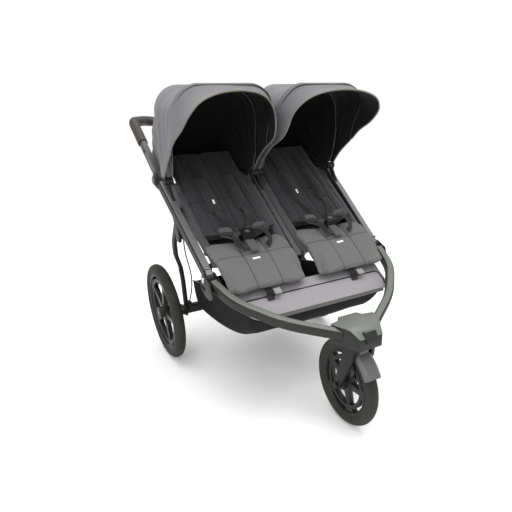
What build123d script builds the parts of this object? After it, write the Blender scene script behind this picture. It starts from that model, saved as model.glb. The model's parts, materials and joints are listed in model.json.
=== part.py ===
from build123d import *
import os
from math import atan2, cos, degrees, hypot, radians, sin, sqrt, tan

os.makedirs("parts", exist_ok=True)

# A three-wheeled double jogging stroller, in millimetres.
# +Z is up, the stroller faces -Y, and the left half (-X) is mirrored to the right.
# The design is laid out with y = 0 at the rear axle, then moved so that the
# origin is at the middle of the whole stroller's footprint.

# ---------------------------------------------------------------- driving sizes
track_width = 780.0            # outside to outside of the rear tyres
wheelbase = 791.0              # rear axle to front axle
rear_radius = 200.0
front_radius = 155.0
tyre_width = 44.0
tyre_depth = 40.0              # from the rim seat to the tread
seat_gap = 0.3                 # between a tyre and its rim
running_gap = 0.06             # radial, round shafts and pins
soft_gap = 4.0                 # between fabric parts and the frame
sewn_gap = 0.3                 # where fabric is fixed to what carries it
folded_gap = 1.5               # between the folded gusset and the front cross tube

tube_width = 30.0              # side tubes, across
tube_height = 38.0             # side tubes, in side view
tube_wall = 2.0
tube_corner = 9.0

hinge_y = -490.0               # main folding hinge
hinge_z = 495.0
hinge_x = 335.0
handle_pivot_y = -110.0
handle_pivot_z = 752.0
handle_pivot_x = 347.0
knuckle_radius = 23.0
knuckle_reach = 30.0           # from the hinge axis to where each tube starts
pin_radius = 5.0
fold_angle = 95.0

hoop_slope = 19.6              # degrees below the horizontal, towards the nose
hoop_height = 34.0
hoop_shoulder_x = 310.0        # plan corners of the hoop's centre line
hoop_shoulder_s = 138.0
hoop_brow_x = 204.0
hoop_brow_s = 270.0
hoop_end_x = 60.0
hoop_end_s = 372.0
shoulder_bend = 230.0
brow_bend = 420.0

nose_width = 168.0
nose_front_width = 84.0
nose_length = 112.0
nose_height = 64.0
nose_bottom_z = 334.0
nose_rear_y = -796.0
steer_y = -856.0               # swivel axis
stem_radius = 12.0
crown_bottom_z = 314.0
crown_top_z = 333.0
fork_inner = 31.0
fork_blade = 12.0
hub_half_length = 28.0
axle_radius = 5.0
button_width = 44.0
button_height = 34.0
button_gap = 0.5
button_travel = 4.0

seat_pitch = 168.0             # from the middle of the stroller to each seat's middle
seat_half_width = 150.0
tub_half_width = 140.7
cloth = 3.0                    # thickness of fabric walls
back_angle = 32.6              # backrest slope at rest, from the horizontal
back_hinge_y = -392.0
back_hinge_z = 548.0
back_length = 470.0
back_thickness = 38.0
back_side_gap = 0.4            # between a backrest and its tub
recline_angle = 32.0

canopy_pivot_y = -178.0
canopy_pivot_z = 756.0
canopy_radius = 302.0          # from the pivot to the rear section's top
pivot_disc = 13.0              # radius of the studs that the canopies turn on
canopy_eye = pivot_disc + sewn_gap
front_eye = 9.0                # the front section's lower edge, above the pivot
canopy_corner = 88.0
canopy_front_y = -486.0
canopy_bow_angle = 135.0       # edge of the front section, from +Y over the top
canopy_inner_x = 20.0          # rear section, towards the middle
canopy_outer_x = 326.0         # rear section, away from the middle
front_outer_x = 352.0          # front section, away from the middle
nest_gap = 4.0                 # between the rear section and the front one
visor_nest = cloth + 0.4       # between the front section and its visor
canopy_top_angle = 84.0
visor_y = -297.0
visor_z = 862.0
hood_angle = 45.0              # the front section folds back by this much
visor_angle = 26.0

handle_y = 205.0
handle_z = 938.0
handle_dip = 32.0
handle_radius = 13.0

leg_x = 322.0
leg_pivot_y = -200.0
leg_pivot_z = 652.0
leg_width = 16.0
leg_depth = 26.0
leg_foot_x = 285.0
rear_fold_ratio = 0.25
beam_height = 38.0
beam_depth = 30.0
beam_y = -24.0
beam_half = 300.0
arm_pivot_y = -72.0
arm_pivot_z = 214.0
arm_x = 307.0                  # inner face of each swing arm
arm_thickness = 14.0

# ---------------------------------------------------------------- derived places
rear_axle_z = rear_radius
front_axle_y = -wheelbase
front_axle_z = front_radius
wheel_x = track_width / 2 - tyre_width / 2
tube_run = (handle_pivot_y - hinge_y, handle_pivot_z - hinge_z)
tube_length = sqrt(tube_run[0] ** 2 + tube_run[1] ** 2)
tube_dir = (tube_run[0] / tube_length, tube_run[1] / tube_length)
hoop_dir = (-cos(radians(hoop_slope)), -sin(radians(hoop_slope)))
left_seat_x = -seat_pitch


def on_tube(distance, lift=0.0):
    """Point (y, z) along a side tube, and square to it by lift."""
    y = hinge_y + distance * tube_dir[0] - lift * tube_dir[1]
    z = hinge_z + distance * tube_dir[1] + lift * tube_dir[0]
    return y, z


def on_hoop(x, s, lift=0.0):
    """Point in the sloping plane of the hoop: x across, s forwards, lift upwards."""
    y = hinge_y + s * hoop_dir[0] + lift * hoop_dir[1]
    z = hinge_z + s * hoop_dir[1] - lift * hoop_dir[0]
    return x, y, z


# ---------------------------------------------------------------- small helpers
def side_plate(points, x0, x1):
    """Outline of (y, z) points, stretched across from x0 to x1."""
    face = make_face(Polyline(*[(x0, y, z) for y, z in points], close=True))
    return extrude(face, x1 - x0, dir=(1, 0, 0))


def disc_x(y, z, x0, x1, radius):
    """Round bar along X."""
    return extrude(Plane(origin=(x0, y, z), x_dir=(0, 1, 0), z_dir=(1, 0, 0)) * Circle(radius), x1 - x0)


def soften(part, axis, radius):
    return fillet(part.edges().filter_by(axis), radius)


def path_plane(path, across=(1, 0, 0)):
    start = path @ 0
    return Plane(origin=start, x_dir=across, z_dir=path % 0)


def swept_bar(path, width, height, corner, wall=0.0, across=(1, 0, 0)):
    """Round-cornered bar along a path, hollow if wall is given."""
    plane = path_plane(path, across)
    bar = sweep(plane * RectangleRounded(width, height, corner), path=path)
    if wall:
        inner = RectangleRounded(width - 2 * wall, height - 2 * wall, corner - wall)
        bar -= sweep(plane * inner, path=path)
    return bar


def swept_rod(path, radius):
    plane = Plane(origin=path @ 0, z_dir=path % 0)
    return sweep(plane * Circle(radius), path=path)


def flip(part):
    return mirror(part, about=Plane.YZ)


def pair(part):
    return [part, flip(part)]


# ---------------------------------------------------------------- wheels
def wheel_section(points, x_middle, y, z):
    """Revolve (x from the wheel's middle, radius) points about the axle."""
    face = make_face(Polyline(*[(x_middle + a, y, z + b) for a, b in points], close=True))
    return revolve(face, Axis((x_middle, y, z), (1, 0, 0)), 360)


def make_tyre(x_middle, y, z, radius):
    half = tyre_width / 2
    seat = radius - tyre_depth
    crown = radius - half
    with_arcs = [
        Line((x_middle - 15, y, z + seat), (x_middle + 15, y, z + seat)),
        Line((x_middle + 15, y, z + seat), (x_middle + half, y, z + crown)),
        ThreePointArc(
            (x_middle + half, y, z + crown), (x_middle, y, z + radius), (x_middle - half, y, z + crown)
        ),
        Line((x_middle - half, y, z + crown), (x_middle - 15, y, z + seat)),
    ]
    return revolve(make_face(with_arcs), Axis((x_middle, y, z), (1, 0, 0)), 360)


def make_rim(x_middle, y, z, radius, hub_radius):
    """One-piece five-spoked wheel with a slot through the rim between each pair of spokes."""
    seat = radius - tyre_depth - seat_gap
    ring_in = seat - 34
    slot_out = seat - 9
    slot_in = seat - 20
    rim = wheel_section(
        [(-16, seat), (-16, seat - 5), (-10, seat - 9), (-10, ring_in), (10, ring_in),
         (10, seat - 9), (16, seat - 5), (16, seat)], x_middle, y, z)
    hub = disc_x(y, z, x_middle - hub_half_length, x_middle + hub_half_length, hub_radius)
    flange = disc_x(y, z, x_middle - 12, x_middle + 12, hub_radius + 12)
    rim += hub + flange
    for k in range(5):
        turn = Rotation(72 * k + 90, 0, 0)
        spoke = extrude(
            Plane(origin=(-9, 0, 0), x_dir=(0, 1, 0), z_dir=(1, 0, 0))
            * make_face(Polyline((-15, 10), (-8, ring_in + 4), (8, ring_in + 4), (15, 10), close=True)), 18)
        rim += Pos(x_middle, y, z) * (turn * spoke)
    slot_face = make_face([
        RadiusArc((slot_in * sin(radians(-25)), slot_in * cos(radians(25))),
                  (slot_in * sin(radians(25)), slot_in * cos(radians(25))), slot_in),
        Line((slot_in * sin(radians(25)), slot_in * cos(radians(25))),
             (slot_out * sin(radians(25)), slot_out * cos(radians(25)))),
        RadiusArc((slot_out * sin(radians(25)), slot_out * cos(radians(25))),
                  (slot_out * sin(radians(-25)), slot_out * cos(radians(25))), -slot_out),
        Line((slot_out * sin(radians(-25)), slot_out * cos(radians(25))),
             (slot_in * sin(radians(-25)), slot_in * cos(radians(25)))),
    ])
    slot = extrude(Plane(origin=(-20, 0, 0), x_dir=(0, 1, 0), z_dir=(1, 0, 0)) * slot_face, 40)
    for k in range(5):
        rim -= Pos(x_middle, y, z) * (Rotation(72 * k + 36 + 90, 0, 0) * slot)
    rim -= disc_x(y, z, x_middle - 40, x_middle + 40, axle_radius + running_gap)
    return rim


front_tyre = make_tyre(0, front_axle_y, front_axle_z, front_radius)
front_rim = make_rim(0, front_axle_y, front_axle_z, front_radius, 22)
rear_tyre = make_tyre(-wheel_x, 0, rear_axle_z, rear_radius)
rear_rim = make_rim(-wheel_x, 0, rear_axle_z, rear_radius, 24)
cap_pocket = 7.0
release_radius = 11.0
rear_rim -= disc_x(0, rear_axle_z, -wheel_x - hub_half_length - 1, -wheel_x - hub_half_length + cap_pocket,
                   release_radius + button_gap)
release_button = disc_x(0, rear_axle_z, -wheel_x - hub_half_length - 2,
                        -wheel_x - hub_half_length + cap_pocket - button_travel, release_radius)

# ---------------------------------------------------------------- front fork
fork_outer = fork_inner + fork_blade


def fork_blade_plate(sign):
    low = [(front_axle_y + 15, front_axle_z - 4), (front_axle_y + 13, front_axle_z + 14),
           (steer_y + 36, crown_bottom_z - 26), (steer_y + 26, crown_top_z),
           (steer_y - 22, crown_top_z), (steer_y - 16, crown_bottom_z - 30),
           (front_axle_y - 16, front_axle_z + 2), (front_axle_y - 6, front_axle_z - 14),
           (front_axle_y + 6, front_axle_z - 14)]
    x0 = fork_inner if sign > 0 else -fork_outer
    return side_plate(low, x0, x0 + fork_blade)


fork = Pos(0, steer_y, (crown_bottom_z + crown_top_z) / 2) * Box(
    2 * fork_outer, 50, crown_top_z - crown_bottom_z)
fork = fillet(fork.edges().filter_by(Axis.Z), 10)
fork += fork_blade_plate(1) + fork_blade_plate(-1)
fork += Pos(0, steer_y, crown_top_z + 22) * Cylinder(stem_radius, 44)
fork -= disc_x(front_axle_y, front_axle_z, -60, 60, axle_radius + running_gap)
front_axle = disc_x(front_axle_y, front_axle_z, -fork_outer - 4, fork_outer + 4, axle_radius)
front_axle += disc_x(front_axle_y, front_axle_z, fork_outer + 0.3, fork_outer + 7, 10)
front_axle += disc_x(front_axle_y, front_axle_z, -fork_outer - 7, -fork_outer - 0.3, 10)

guard_gap = 8.0
guard_wall = 3.5
guard_half = 29.0
guard_low = 30.0
guard_high = 66.0
guard_face = make_face(Polyline(
    (-guard_half, front_axle_y, front_axle_z + front_radius - 8),
    (-guard_half, front_axle_y, front_axle_z + front_radius + guard_gap - 3),
    (-guard_half + 9, front_axle_y, front_axle_z + front_radius + guard_gap + guard_wall),
    (guard_half - 9, front_axle_y, front_axle_z + front_radius + guard_gap + guard_wall),
    (guard_half, front_axle_y, front_axle_z + front_radius + guard_gap - 3),
    (guard_half, front_axle_y, front_axle_z + front_radius - 8),
    (guard_half - guard_wall, front_axle_y, front_axle_z + front_radius - 8),
    (guard_half - guard_wall, front_axle_y, front_axle_z + front_radius + guard_gap - 4),
    (guard_half - 11, front_axle_y, front_axle_z + front_radius + guard_gap),
    (-guard_half + 11, front_axle_y, front_axle_z + front_radius + guard_gap),
    (-guard_half + guard_wall, front_axle_y, front_axle_z + front_radius + guard_gap - 4),
    (-guard_half + guard_wall, front_axle_y, front_axle_z + front_radius - 8),
    close=True))
guard_axis = Axis((0, front_axle_y, front_axle_z), (1, 0, 0))
mudguard = revolve(guard_face.rotate(guard_axis, 90 - guard_high), guard_axis, guard_high - guard_low)
guard_stay_y = front_axle_y - (front_radius + guard_gap) * cos(radians(guard_high - 4))
guard_stay_z = front_axle_z + (front_radius + guard_gap) * sin(radians(guard_high - 4))
mudguard += Pos(0, guard_stay_y, (guard_stay_z + 1 + crown_bottom_z) / 2) * Box(
    34, 14, crown_bottom_z - guard_stay_z - 1)

# ---------------------------------------------------------------- nose and hoop
hoop_points = [
    on_hoop(-hinge_x, knuckle_reach), on_hoop(-hoop_shoulder_x, hoop_shoulder_s),
    on_hoop(-hoop_brow_x, hoop_brow_s), on_hoop(-hoop_end_x, hoop_end_s)]
hoop_path = FilletPolyline(*hoop_points, radius=[shoulder_bend, brow_bend])
hoop_across = (hoop_path % 0).cross(Vector(0, hoop_dir[1], -hoop_dir[0]))
hoop_left_tube = swept_bar(hoop_path, tube_width, hoop_height, tube_corner, tube_wall, hoop_across)
hoop_room = swept_bar(hoop_path, tube_width + 0.6, hoop_height + 0.6, tube_corner, 0, hoop_across)
hoop_envelope = swept_bar(hoop_path, tube_width + 2 * soft_gap, hoop_height + 2 * soft_gap,
                          tube_corner, 0, hoop_across)

nose_half = nose_width / 2
front_half = nose_front_width / 2
nose_plan = make_face(Polyline(
    (-nose_half, nose_rear_y - 12), (-nose_half + 14, nose_rear_y - 50),
    (-front_half, nose_rear_y - nose_length), (front_half, nose_rear_y - nose_length),
    (nose_half - 14, nose_rear_y - 50), (nose_half, nose_rear_y - 12),
    (44, nose_rear_y - 4), (36, nose_rear_y + 16), (-36, nose_rear_y + 16), (-44, nose_rear_y - 4),
    close=True))
nose_housing = extrude(Plane.XY.offset(nose_bottom_z) * nose_plan, nose_height)
nose_housing = soften(nose_housing, Axis.Z, 6)
nose_front_y = nose_rear_y - nose_length
slice_box = side_plate(
    [(nose_front_y - 20, nose_bottom_z + 26), (nose_front_y - 20, nose_bottom_z + 120),
     (nose_rear_y + 60, nose_bottom_z + 120), (nose_rear_y + 60, nose_bottom_z + nose_height + 14),
     (nose_front_y + 34, nose_bottom_z + nose_height - 2)], -200, 200)
nose_housing -= slice_box
nose_housing -= Pos(0, steer_y, nose_bottom_z + 22) * Cylinder(stem_radius + running_gap, 50)
nose_housing -= hoop_room + flip(hoop_room)

button_tilt = degrees(atan2(nose_height - 28, 54))
button_centre = (0, nose_front_y + 6, nose_bottom_z + 40)
button_place = Pos(*button_centre) * Rotation(90 - button_tilt, 0, 0)
button_depth = 12.0
lock_button = button_place * Pos(0, 0, 1) * Box(button_width, button_height, button_depth)
lock_button = fillet(lock_button.edges().group_by(SortBy.LENGTH)[0], 5)
button_pocket = button_place * Pos(0, 0, 20 - button_travel - button_depth / 2 + 1) * Box(
    button_width + 2 * button_gap, button_height + 2 * button_gap, 40)
nose_housing -= button_pocket

# lower half of the main folding hinge: two slotted cheek plates that the upper tube turns between
cheek_plate = 3.0
cheek_in = tube_width / 2 + 1.6        # from the hinge's middle to the plates' inner faces
cheek_out = cheek_in + cheek_plate
hoop_half = hoop_height / 2
cheek_outline = [on_hoop(0, knuckle_reach + 44, -hoop_half)[1:],
                 on_hoop(0, knuckle_reach + 26, -hoop_half - 26)[1:],
                 on_hoop(0, knuckle_reach - 14, -hoop_half - 40)[1:],
                 on_hoop(0, -24, -hoop_half - 30)[1:],
                 on_hoop(0, -28, -hoop_half + 6)[1:],
                 on_hoop(0, -10, hoop_half)[1:],
                 on_hoop(0, knuckle_reach + 12, hoop_half)[1:]]


def make_cheek(x0):
    return soften(side_plate(cheek_outline, x0, x0 + cheek_plate), Axis.X, 6)


gusset_left = make_cheek(-hinge_x - cheek_out) + make_cheek(-hinge_x + cheek_in)
web_top = on_hoop(0, knuckle_reach - 0.4, hoop_half)[1:]
web_low = on_hoop(0, knuckle_reach - 0.4, -hoop_half)[1:]
gusset_left += side_plate([web_top, on_hoop(0, knuckle_reach - 4, hoop_half)[1:],
                           on_hoop(0, knuckle_reach - 4, -hoop_half)[1:], web_low],
                          -hinge_x - cheek_in, -hinge_x + cheek_in)
gusset_left += side_plate([web_low, on_hoop(0, knuckle_reach - 4, -hoop_half)[1:],
                           on_hoop(0, knuckle_reach - 10, -hoop_half - 30)[1:],
                           on_hoop(0, knuckle_reach - 4, -hoop_half - 32)[1:],
                           on_hoop(0, knuckle_reach + 3, -hoop_half - 3)[1:]],
                          -hinge_x - cheek_in, -hinge_x + cheek_in)
slot_length = 34.0
slot_width = 13.0
slot_bar = Rotation(0, 90, 0) * (
    Box(slot_width, slot_length - slot_width, 60)
    + Pos(0, (slot_length - slot_width) / 2, 0) * Cylinder(slot_width / 2, 60)
    + Pos(0, -(slot_length - slot_width) / 2, 0) * Cylinder(slot_width / 2, 60))
slot_place = on_hoop(-hinge_x, -4, -hoop_half - 17)
gusset_left -= Pos(*slot_place) * (Rotation(12, 0, 0) * slot_bar)
gusset_left -= hoop_room
hinge_bore = disc_x(hinge_y, hinge_z, -hinge_x - 30, -hinge_x + 30, pin_radius + running_gap)
gusset_left -= hinge_bore
hinge_pin = disc_x(hinge_y, hinge_z, -hinge_x - cheek_out - 3, -hinge_x + cheek_out + 2, pin_radius)
hinge_pin += disc_x(hinge_y, hinge_z, -hinge_x - cheek_out - 5, -hinge_x - cheek_out - 0.3, 10)
hinge_pin += disc_x(hinge_y, hinge_z, -hinge_x + cheek_out + 0.3, -hinge_x + cheek_out + 3, 9)

# ---------------------------------------------------------------- footwell and basket
ramp_top = (-548.0, 452.0)
ramp_bottom = (-674.0, 393.0)
ramp_thickness = 6.0
ramp_slope = degrees(atan2(ramp_top[1] - ramp_bottom[1], ramp_top[0] - ramp_bottom[0]))
ramp_run = sqrt((ramp_top[0] - ramp_bottom[0]) ** 2 + (ramp_top[1] - ramp_bottom[1]) ** 2)
ramp_plane = Plane(origin=(0, ramp_top[0], ramp_top[1]), x_dir=(1, 0, 0),
                   z_dir=(0, -sin(radians(ramp_slope)), cos(radians(ramp_slope))))
ramp_outline = make_face(Polyline(
    (-292, 0), (-286, -60), (-238, -ramp_run + 14), (-216, -ramp_run), (216, -ramp_run),
    (238, -ramp_run + 14), (286, -60), (292, 0), close=True))
ramp_panel = extrude(ramp_plane * ramp_outline, -ramp_thickness)
tab_rear_y = ramp_top[0] - 34
tab_front_y = tab_rear_y - 36
tab_side = [(tab_rear_y, ramp_top[1] - 24), (tab_rear_y, ramp_top[1] - 3), (tab_front_y, ramp_top[1] - 16),
            (tab_front_y, ramp_top[1] - 40)]
panel_tab = side_plate(tab_side, -318, -286)
ramp_panel += panel_tab + flip(panel_tab)
ramp_panel -= hoop_room + flip(hoop_room)

ramp_under = ramp_top[1] - ramp_thickness / cos(radians(ramp_slope))
basket_brim = (ramp_top[0] - 12, ramp_under - 12 * tan(radians(ramp_slope)) - 1.2 * sewn_gap)
basket_half = 252.0
basket_side = [(-664, 382), (-612, 318), (-450, 240), (-221, 200), (-90, 196), (-50, 226), (-50, 330),
               basket_brim]
basket_inside = [(-657, 384), (-608, 323), (-449, 244), (-221, 204), (-91, 200), (-54, 228), (-54, 400),
                 (-570, 480)]
cargo_basket = side_plate(basket_side, -basket_half, basket_half)
cargo_basket -= side_plate(basket_inside, -basket_half + cloth, basket_half - cloth)

# route of the left brake cable, from the clip on the leg bracket to its stop on the axle beam
brake_cable_points = [(-322, -232, 606), (-314, -196, 562), (-304, -158, 516), (-292, -126, 464),
                      (-274, -96, 408), (-262, -72, 350), (-264, -60, 294), (-278, -56, 244)]
cable_radius = 2.5

# ---------------------------------------------------------------- upper frame
def tube_block(x0, x1, start, end, low, high):
    """Block that lies along the side tubes: start to end along them, low to high square to them."""
    corners = [on_tube(start, low), on_tube(end, low), on_tube(end, high), on_tube(start, high)]
    return side_plate(corners, x0, x1)


tube_top = tube_length - 26.0  # the side tube ends here, inside its pivot housing


def upper_bar(width, height, wall):
    line = Line((-hinge_x, *on_tube(knuckle_reach)), (-handle_pivot_x, *on_tube(tube_top)))
    return swept_bar(line, width, height, tube_corner, wall)


upper_tube_left = upper_bar(tube_width, tube_height, tube_wall)
upper_room = upper_bar(tube_width + 0.6, tube_height + 0.6, 0)
upper_envelope = upper_bar(tube_width + 2 * soft_gap, tube_height + 2 * soft_gap, 0)

tube_half = tube_height / 2
knuckle_x = (-hinge_x - tube_width / 2, -hinge_x + tube_width / 2)
upper_knuckle = tube_block(*knuckle_x, 0, knuckle_reach - 4, -13, 13)
upper_knuckle += disc_x(hinge_y, hinge_z, *knuckle_x, knuckle_radius - 6)
upper_knuckle += tube_block(*knuckle_x, knuckle_reach - 7, knuckle_reach + 4, -tube_half, tube_half)
upper_knuckle -= upper_room
upper_knuckle -= tube_block(-400, -300, knuckle_reach + 0.6, knuckle_reach + 30, -40, 40)
upper_knuckle -= hinge_bore

# pivot housing at the top of each side tube, which carries the handlebar
housing_radius = 27.0
cheek_gap = 9.5
cheek = 6.5
tilt_pin_radius = 6.0
tilt_button_radius = 13.0
collar_radius = 18.0
pivot_housing = tube_block(-handle_pivot_x - cheek_gap - cheek, -handle_pivot_x + cheek_gap + cheek,
                           tube_top + 0.6, tube_top + 5, -tube_half, tube_half)
for cheek_x in (-handle_pivot_x - cheek_gap - cheek, -handle_pivot_x + cheek_gap):
    pivot_housing += disc_x(handle_pivot_y, handle_pivot_z, cheek_x, cheek_x + cheek, housing_radius)
pivot_housing -= tube_block(-handle_pivot_x - 40, -handle_pivot_x + 40, tube_top - 40, tube_top + 0.6,
                            -40, 40)
collar_in = -handle_pivot_x - cheek_gap - cheek
pivot_housing += disc_x(handle_pivot_y, handle_pivot_z, collar_in - 6, collar_in, collar_radius)
pivot_housing -= disc_x(handle_pivot_y, handle_pivot_z, collar_in - 10, collar_in + 1,
                        tilt_button_radius + button_gap)
tilt_pin = disc_x(handle_pivot_y, handle_pivot_z, collar_in + 1.3, -handle_pivot_x + cheek_gap + cheek + 1,
                  tilt_pin_radius)
pivot_housing += tilt_pin
tilt_button = disc_x(handle_pivot_y, handle_pivot_z, collar_in - 10, collar_in - button_travel - 0.3,
                     tilt_button_radius)

# cross tubes, leg brackets and the centre rail
cross_radius = 9.0
front_cross_y, front_cross_z = on_tube(61, -16)
rear_cross_y = -222.0
rear_cross_z = 568.0
bracket_x = 333.0
bracket_thickness = 10.0
front_cross_tube = disc_x(front_cross_y, front_cross_z, -hinge_x, hinge_x, cross_radius)
front_cross_tube -= upper_room + flip(upper_room)
folded_turns = [fold_angle - 4 * step for step in range(4)]
cross_room = disc_x(front_cross_y, front_cross_z, -hinge_x - 30, -hinge_x + 30, cross_radius + folded_gap)
for turn in folded_turns:  # the gusset's corner clears the cross tube in the last degrees of the fold
    gusset_left -= cross_room.rotate(Axis((0, hinge_y, hinge_z), (-1, 0, 0)), turn)
rear_cross_tube = disc_x(rear_cross_y, rear_cross_z, -bracket_x + 0.3, bracket_x - 0.3, cross_radius)
bracket_outline = [on_tube(300, -19.3), on_tube(350, -19.3), (leg_pivot_y + 18, leg_pivot_z - 8),
                   (leg_pivot_y + 4, leg_pivot_z - 24), (rear_cross_y + 18, rear_cross_z - 14),
                   (rear_cross_y - 8, rear_cross_z - 18), (rear_cross_y - 20, rear_cross_z + 4)]
leg_bracket = side_plate(bracket_outline, -bracket_x - bracket_thickness, -bracket_x)
leg_bracket += disc_x(leg_pivot_y, leg_pivot_z, -bracket_x, -leg_x + leg_width / 2 + 5, pin_radius)
leg_inner = -leg_x + leg_width / 2
leg_bracket += disc_x(leg_pivot_y, leg_pivot_z, leg_inner + 0.5, leg_inner + 5, 11)
cable_clip = (brake_cable_points[0][1] - 6, brake_cable_points[0][2] + 6)
leg_bracket += disc_x(*cable_clip, -bracket_x, brake_cable_points[0][0] + cable_radius, 4)
leg_bracket += tube_block(-bracket_x - bracket_thickness, -bracket_x, 316, 330, -40, -19.3)

rail_half = 12.0
rail_height = 24.0
rail_end = 405.0
centre_rail = tube_block(-rail_half, rail_half, 8, rail_end, -5, rail_height - 5)
centre_rail = soften(centre_rail, Axis.X, 3)
rail_lug = tube_block(-rail_half, rail_half, 50, 72, -26, -4) - disc_x(
    front_cross_y, front_cross_z, -40, 40, cross_radius + 0.3)
rail_post = side_plate([(rear_cross_y - 12, rear_cross_z - 12), (rear_cross_y + 12, rear_cross_z - 12),
                        on_tube(345, -4), on_tube(310, -4)], -9, 9)
rail_post -= disc_x(rear_cross_y, rear_cross_z, -40, 40, cross_radius + 0.3)
centre_rail += rail_lug + rail_post

# canopy pivots: two on each side tube's top, two on the centre rail
inner_pivot = side_plate([on_tube(331, rail_height - 4.7), on_tube(371, rail_height - 4.7),
                          (canopy_pivot_y + 11, canopy_pivot_z), (canopy_pivot_y - 11, canopy_pivot_z)],
                         -5, 5)
stud_reach = 4.0               # how far a stud passes through the fabric's eye
inner_stud = canopy_inner_x + stud_reach
inner_pivot += disc_x(canopy_pivot_y, canopy_pivot_z, -inner_stud, inner_stud, pivot_disc)
outer_pivot_x = handle_pivot_x - 7
outer_pivot = side_plate([on_tube(331, 19.3), on_tube(371, 19.3), (canopy_pivot_y + 11, canopy_pivot_z),
                          (canopy_pivot_y - 11, canopy_pivot_z)], -outer_pivot_x - 4, -outer_pivot_x + 4)
outer_pivot += disc_x(canopy_pivot_y, canopy_pivot_z, -front_outer_x - 1, -canopy_outer_x + stud_reach,
                      pivot_disc)

# ---------------------------------------------------------------- rear frame
leg_path = FilletPolyline(
    (-leg_x, leg_pivot_y, leg_pivot_z), (-leg_x, -162, 600), (-leg_x, -99, 517), (-leg_x, -96, 466),
    (-leg_foot_x - 6, -34, 392), (-leg_foot_x, beam_y, 330),
    (-leg_foot_x, beam_y, rear_axle_z + beam_height / 2 + 0.3),
    radius=[60, 50, 34, 34, 40])
rear_leg_left = sweep(Plane(origin=leg_path @ 0, x_dir=(1, 0, 0), z_dir=leg_path % 0)
                      * RectangleRounded(leg_width, leg_depth, 6), path=leg_path)
rear_leg_left += disc_x(leg_pivot_y, leg_pivot_z, -leg_x - leg_width / 2, -leg_x + leg_width / 2, 15)
rear_leg_left -= disc_x(leg_pivot_y, leg_pivot_z, -leg_x - 40, -leg_x + 40, pin_radius + running_gap)
axle_beam = Pos(0, beam_y, rear_axle_z) * Box(2 * beam_half, beam_depth, beam_height)
axle_beam = fillet(axle_beam.edges().filter_by(Axis.X), 8)
axle_beam -= Pos(0, beam_y, rear_axle_z) * Box(2 * beam_half + 2, beam_depth - 5, beam_height - 5)
cable_foot = brake_cable_points[-1]
cable_stop = Pos(cable_foot[0], (cable_foot[1] - 8 + beam_y - beam_depth / 2) / 2, rear_axle_z + 25) * Box(
    14, beam_y - beam_depth / 2 - cable_foot[1] + 10, 2 * (cable_foot[2] - 1 - rear_axle_z - 25))
axle_beam += cable_stop + flip(cable_stop)
block_front = arm_pivot_y - 16
end_block = side_plate([(block_front, arm_pivot_z - 16), (block_front, arm_pivot_z + 14),
                        (beam_y + 17, rear_axle_z + 21), (beam_y + 17, rear_axle_z - 21)],
                       -arm_x + 0.5, -arm_x + 7)
end_block += Pos(-beam_half + 6, beam_y, rear_axle_z) * Box(24, beam_depth - 6, beam_height - 6)
end_block += disc_x(arm_pivot_y, arm_pivot_z, -arm_x - arm_thickness - 3, -arm_x + 1, 8)
swing_arm = side_plate([(arm_pivot_y - 12, arm_pivot_z - 10), (arm_pivot_y - 12, arm_pivot_z + 10),
                        (-6, rear_axle_z + 16), (12, rear_axle_z + 8), (12, rear_axle_z - 10),
                        (-8, rear_axle_z - 15)],
                       -arm_x - arm_thickness, -arm_x)
swing_arm = soften(swing_arm, Axis.X, 5)
swing_arm -= disc_x(arm_pivot_y, arm_pivot_z, -arm_x - 40, -arm_x + 40, 8 + running_gap)
rear_axle = disc_x(0, rear_axle_z, -wheel_x - hub_half_length + cap_pocket + 0.5,
                   -arm_x - arm_thickness - 0.3, axle_radius)
rear_axle += disc_x(0, rear_axle_z, -wheel_x + hub_half_length + 0.4, -arm_x - arm_thickness - 0.3, 14)

cable_radii = []
for before, corner, after in zip(brake_cable_points, brake_cable_points[1:], brake_cable_points[2:]):
    arm_in = Vector(*corner) - Vector(*before)
    arm_out = Vector(*after) - Vector(*corner)
    half_turn = radians(arm_in.get_angle(arm_out)) / 2
    cable_radii.append(0.45 * min(arm_in.length, arm_out.length) / tan(half_turn))
brake_cable = swept_rod(FilletPolyline(*brake_cable_points, radius=cable_radii), cable_radius)
print("brake cable bend radii", [round(r) for r in cable_radii])

# foot brake on the back of the axle beam
pedal_x = 150.0
pedal_y = beam_y + beam_depth / 2 + 16
brake_lug = Pos(pedal_x, beam_y + beam_depth / 2 + 9, rear_axle_z + 4) * (
    Pos(-24, 0, 0) * Box(8, 17.4, 20) + Pos(24, 0, 0) * Box(8, 17.4, 20))
brake_lug += disc_x(pedal_y, rear_axle_z + 4, pedal_x - 28, pedal_x + 28, 4)
brake_pedal = disc_x(pedal_y, rear_axle_z + 4, pedal_x - 19, pedal_x + 19, 9)
brake_pedal += side_plate([(pedal_y, rear_axle_z - 3), (pedal_y + 2, rear_axle_z + 11),
                           (pedal_y + 46, rear_axle_z + 26), (pedal_y + 48, rear_axle_z + 18)],
                          pedal_x - 19, pedal_x + 19)
brake_pedal -= disc_x(pedal_y, rear_axle_z + 4, pedal_x - 60, pedal_x + 60, 4 + running_gap)

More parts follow.
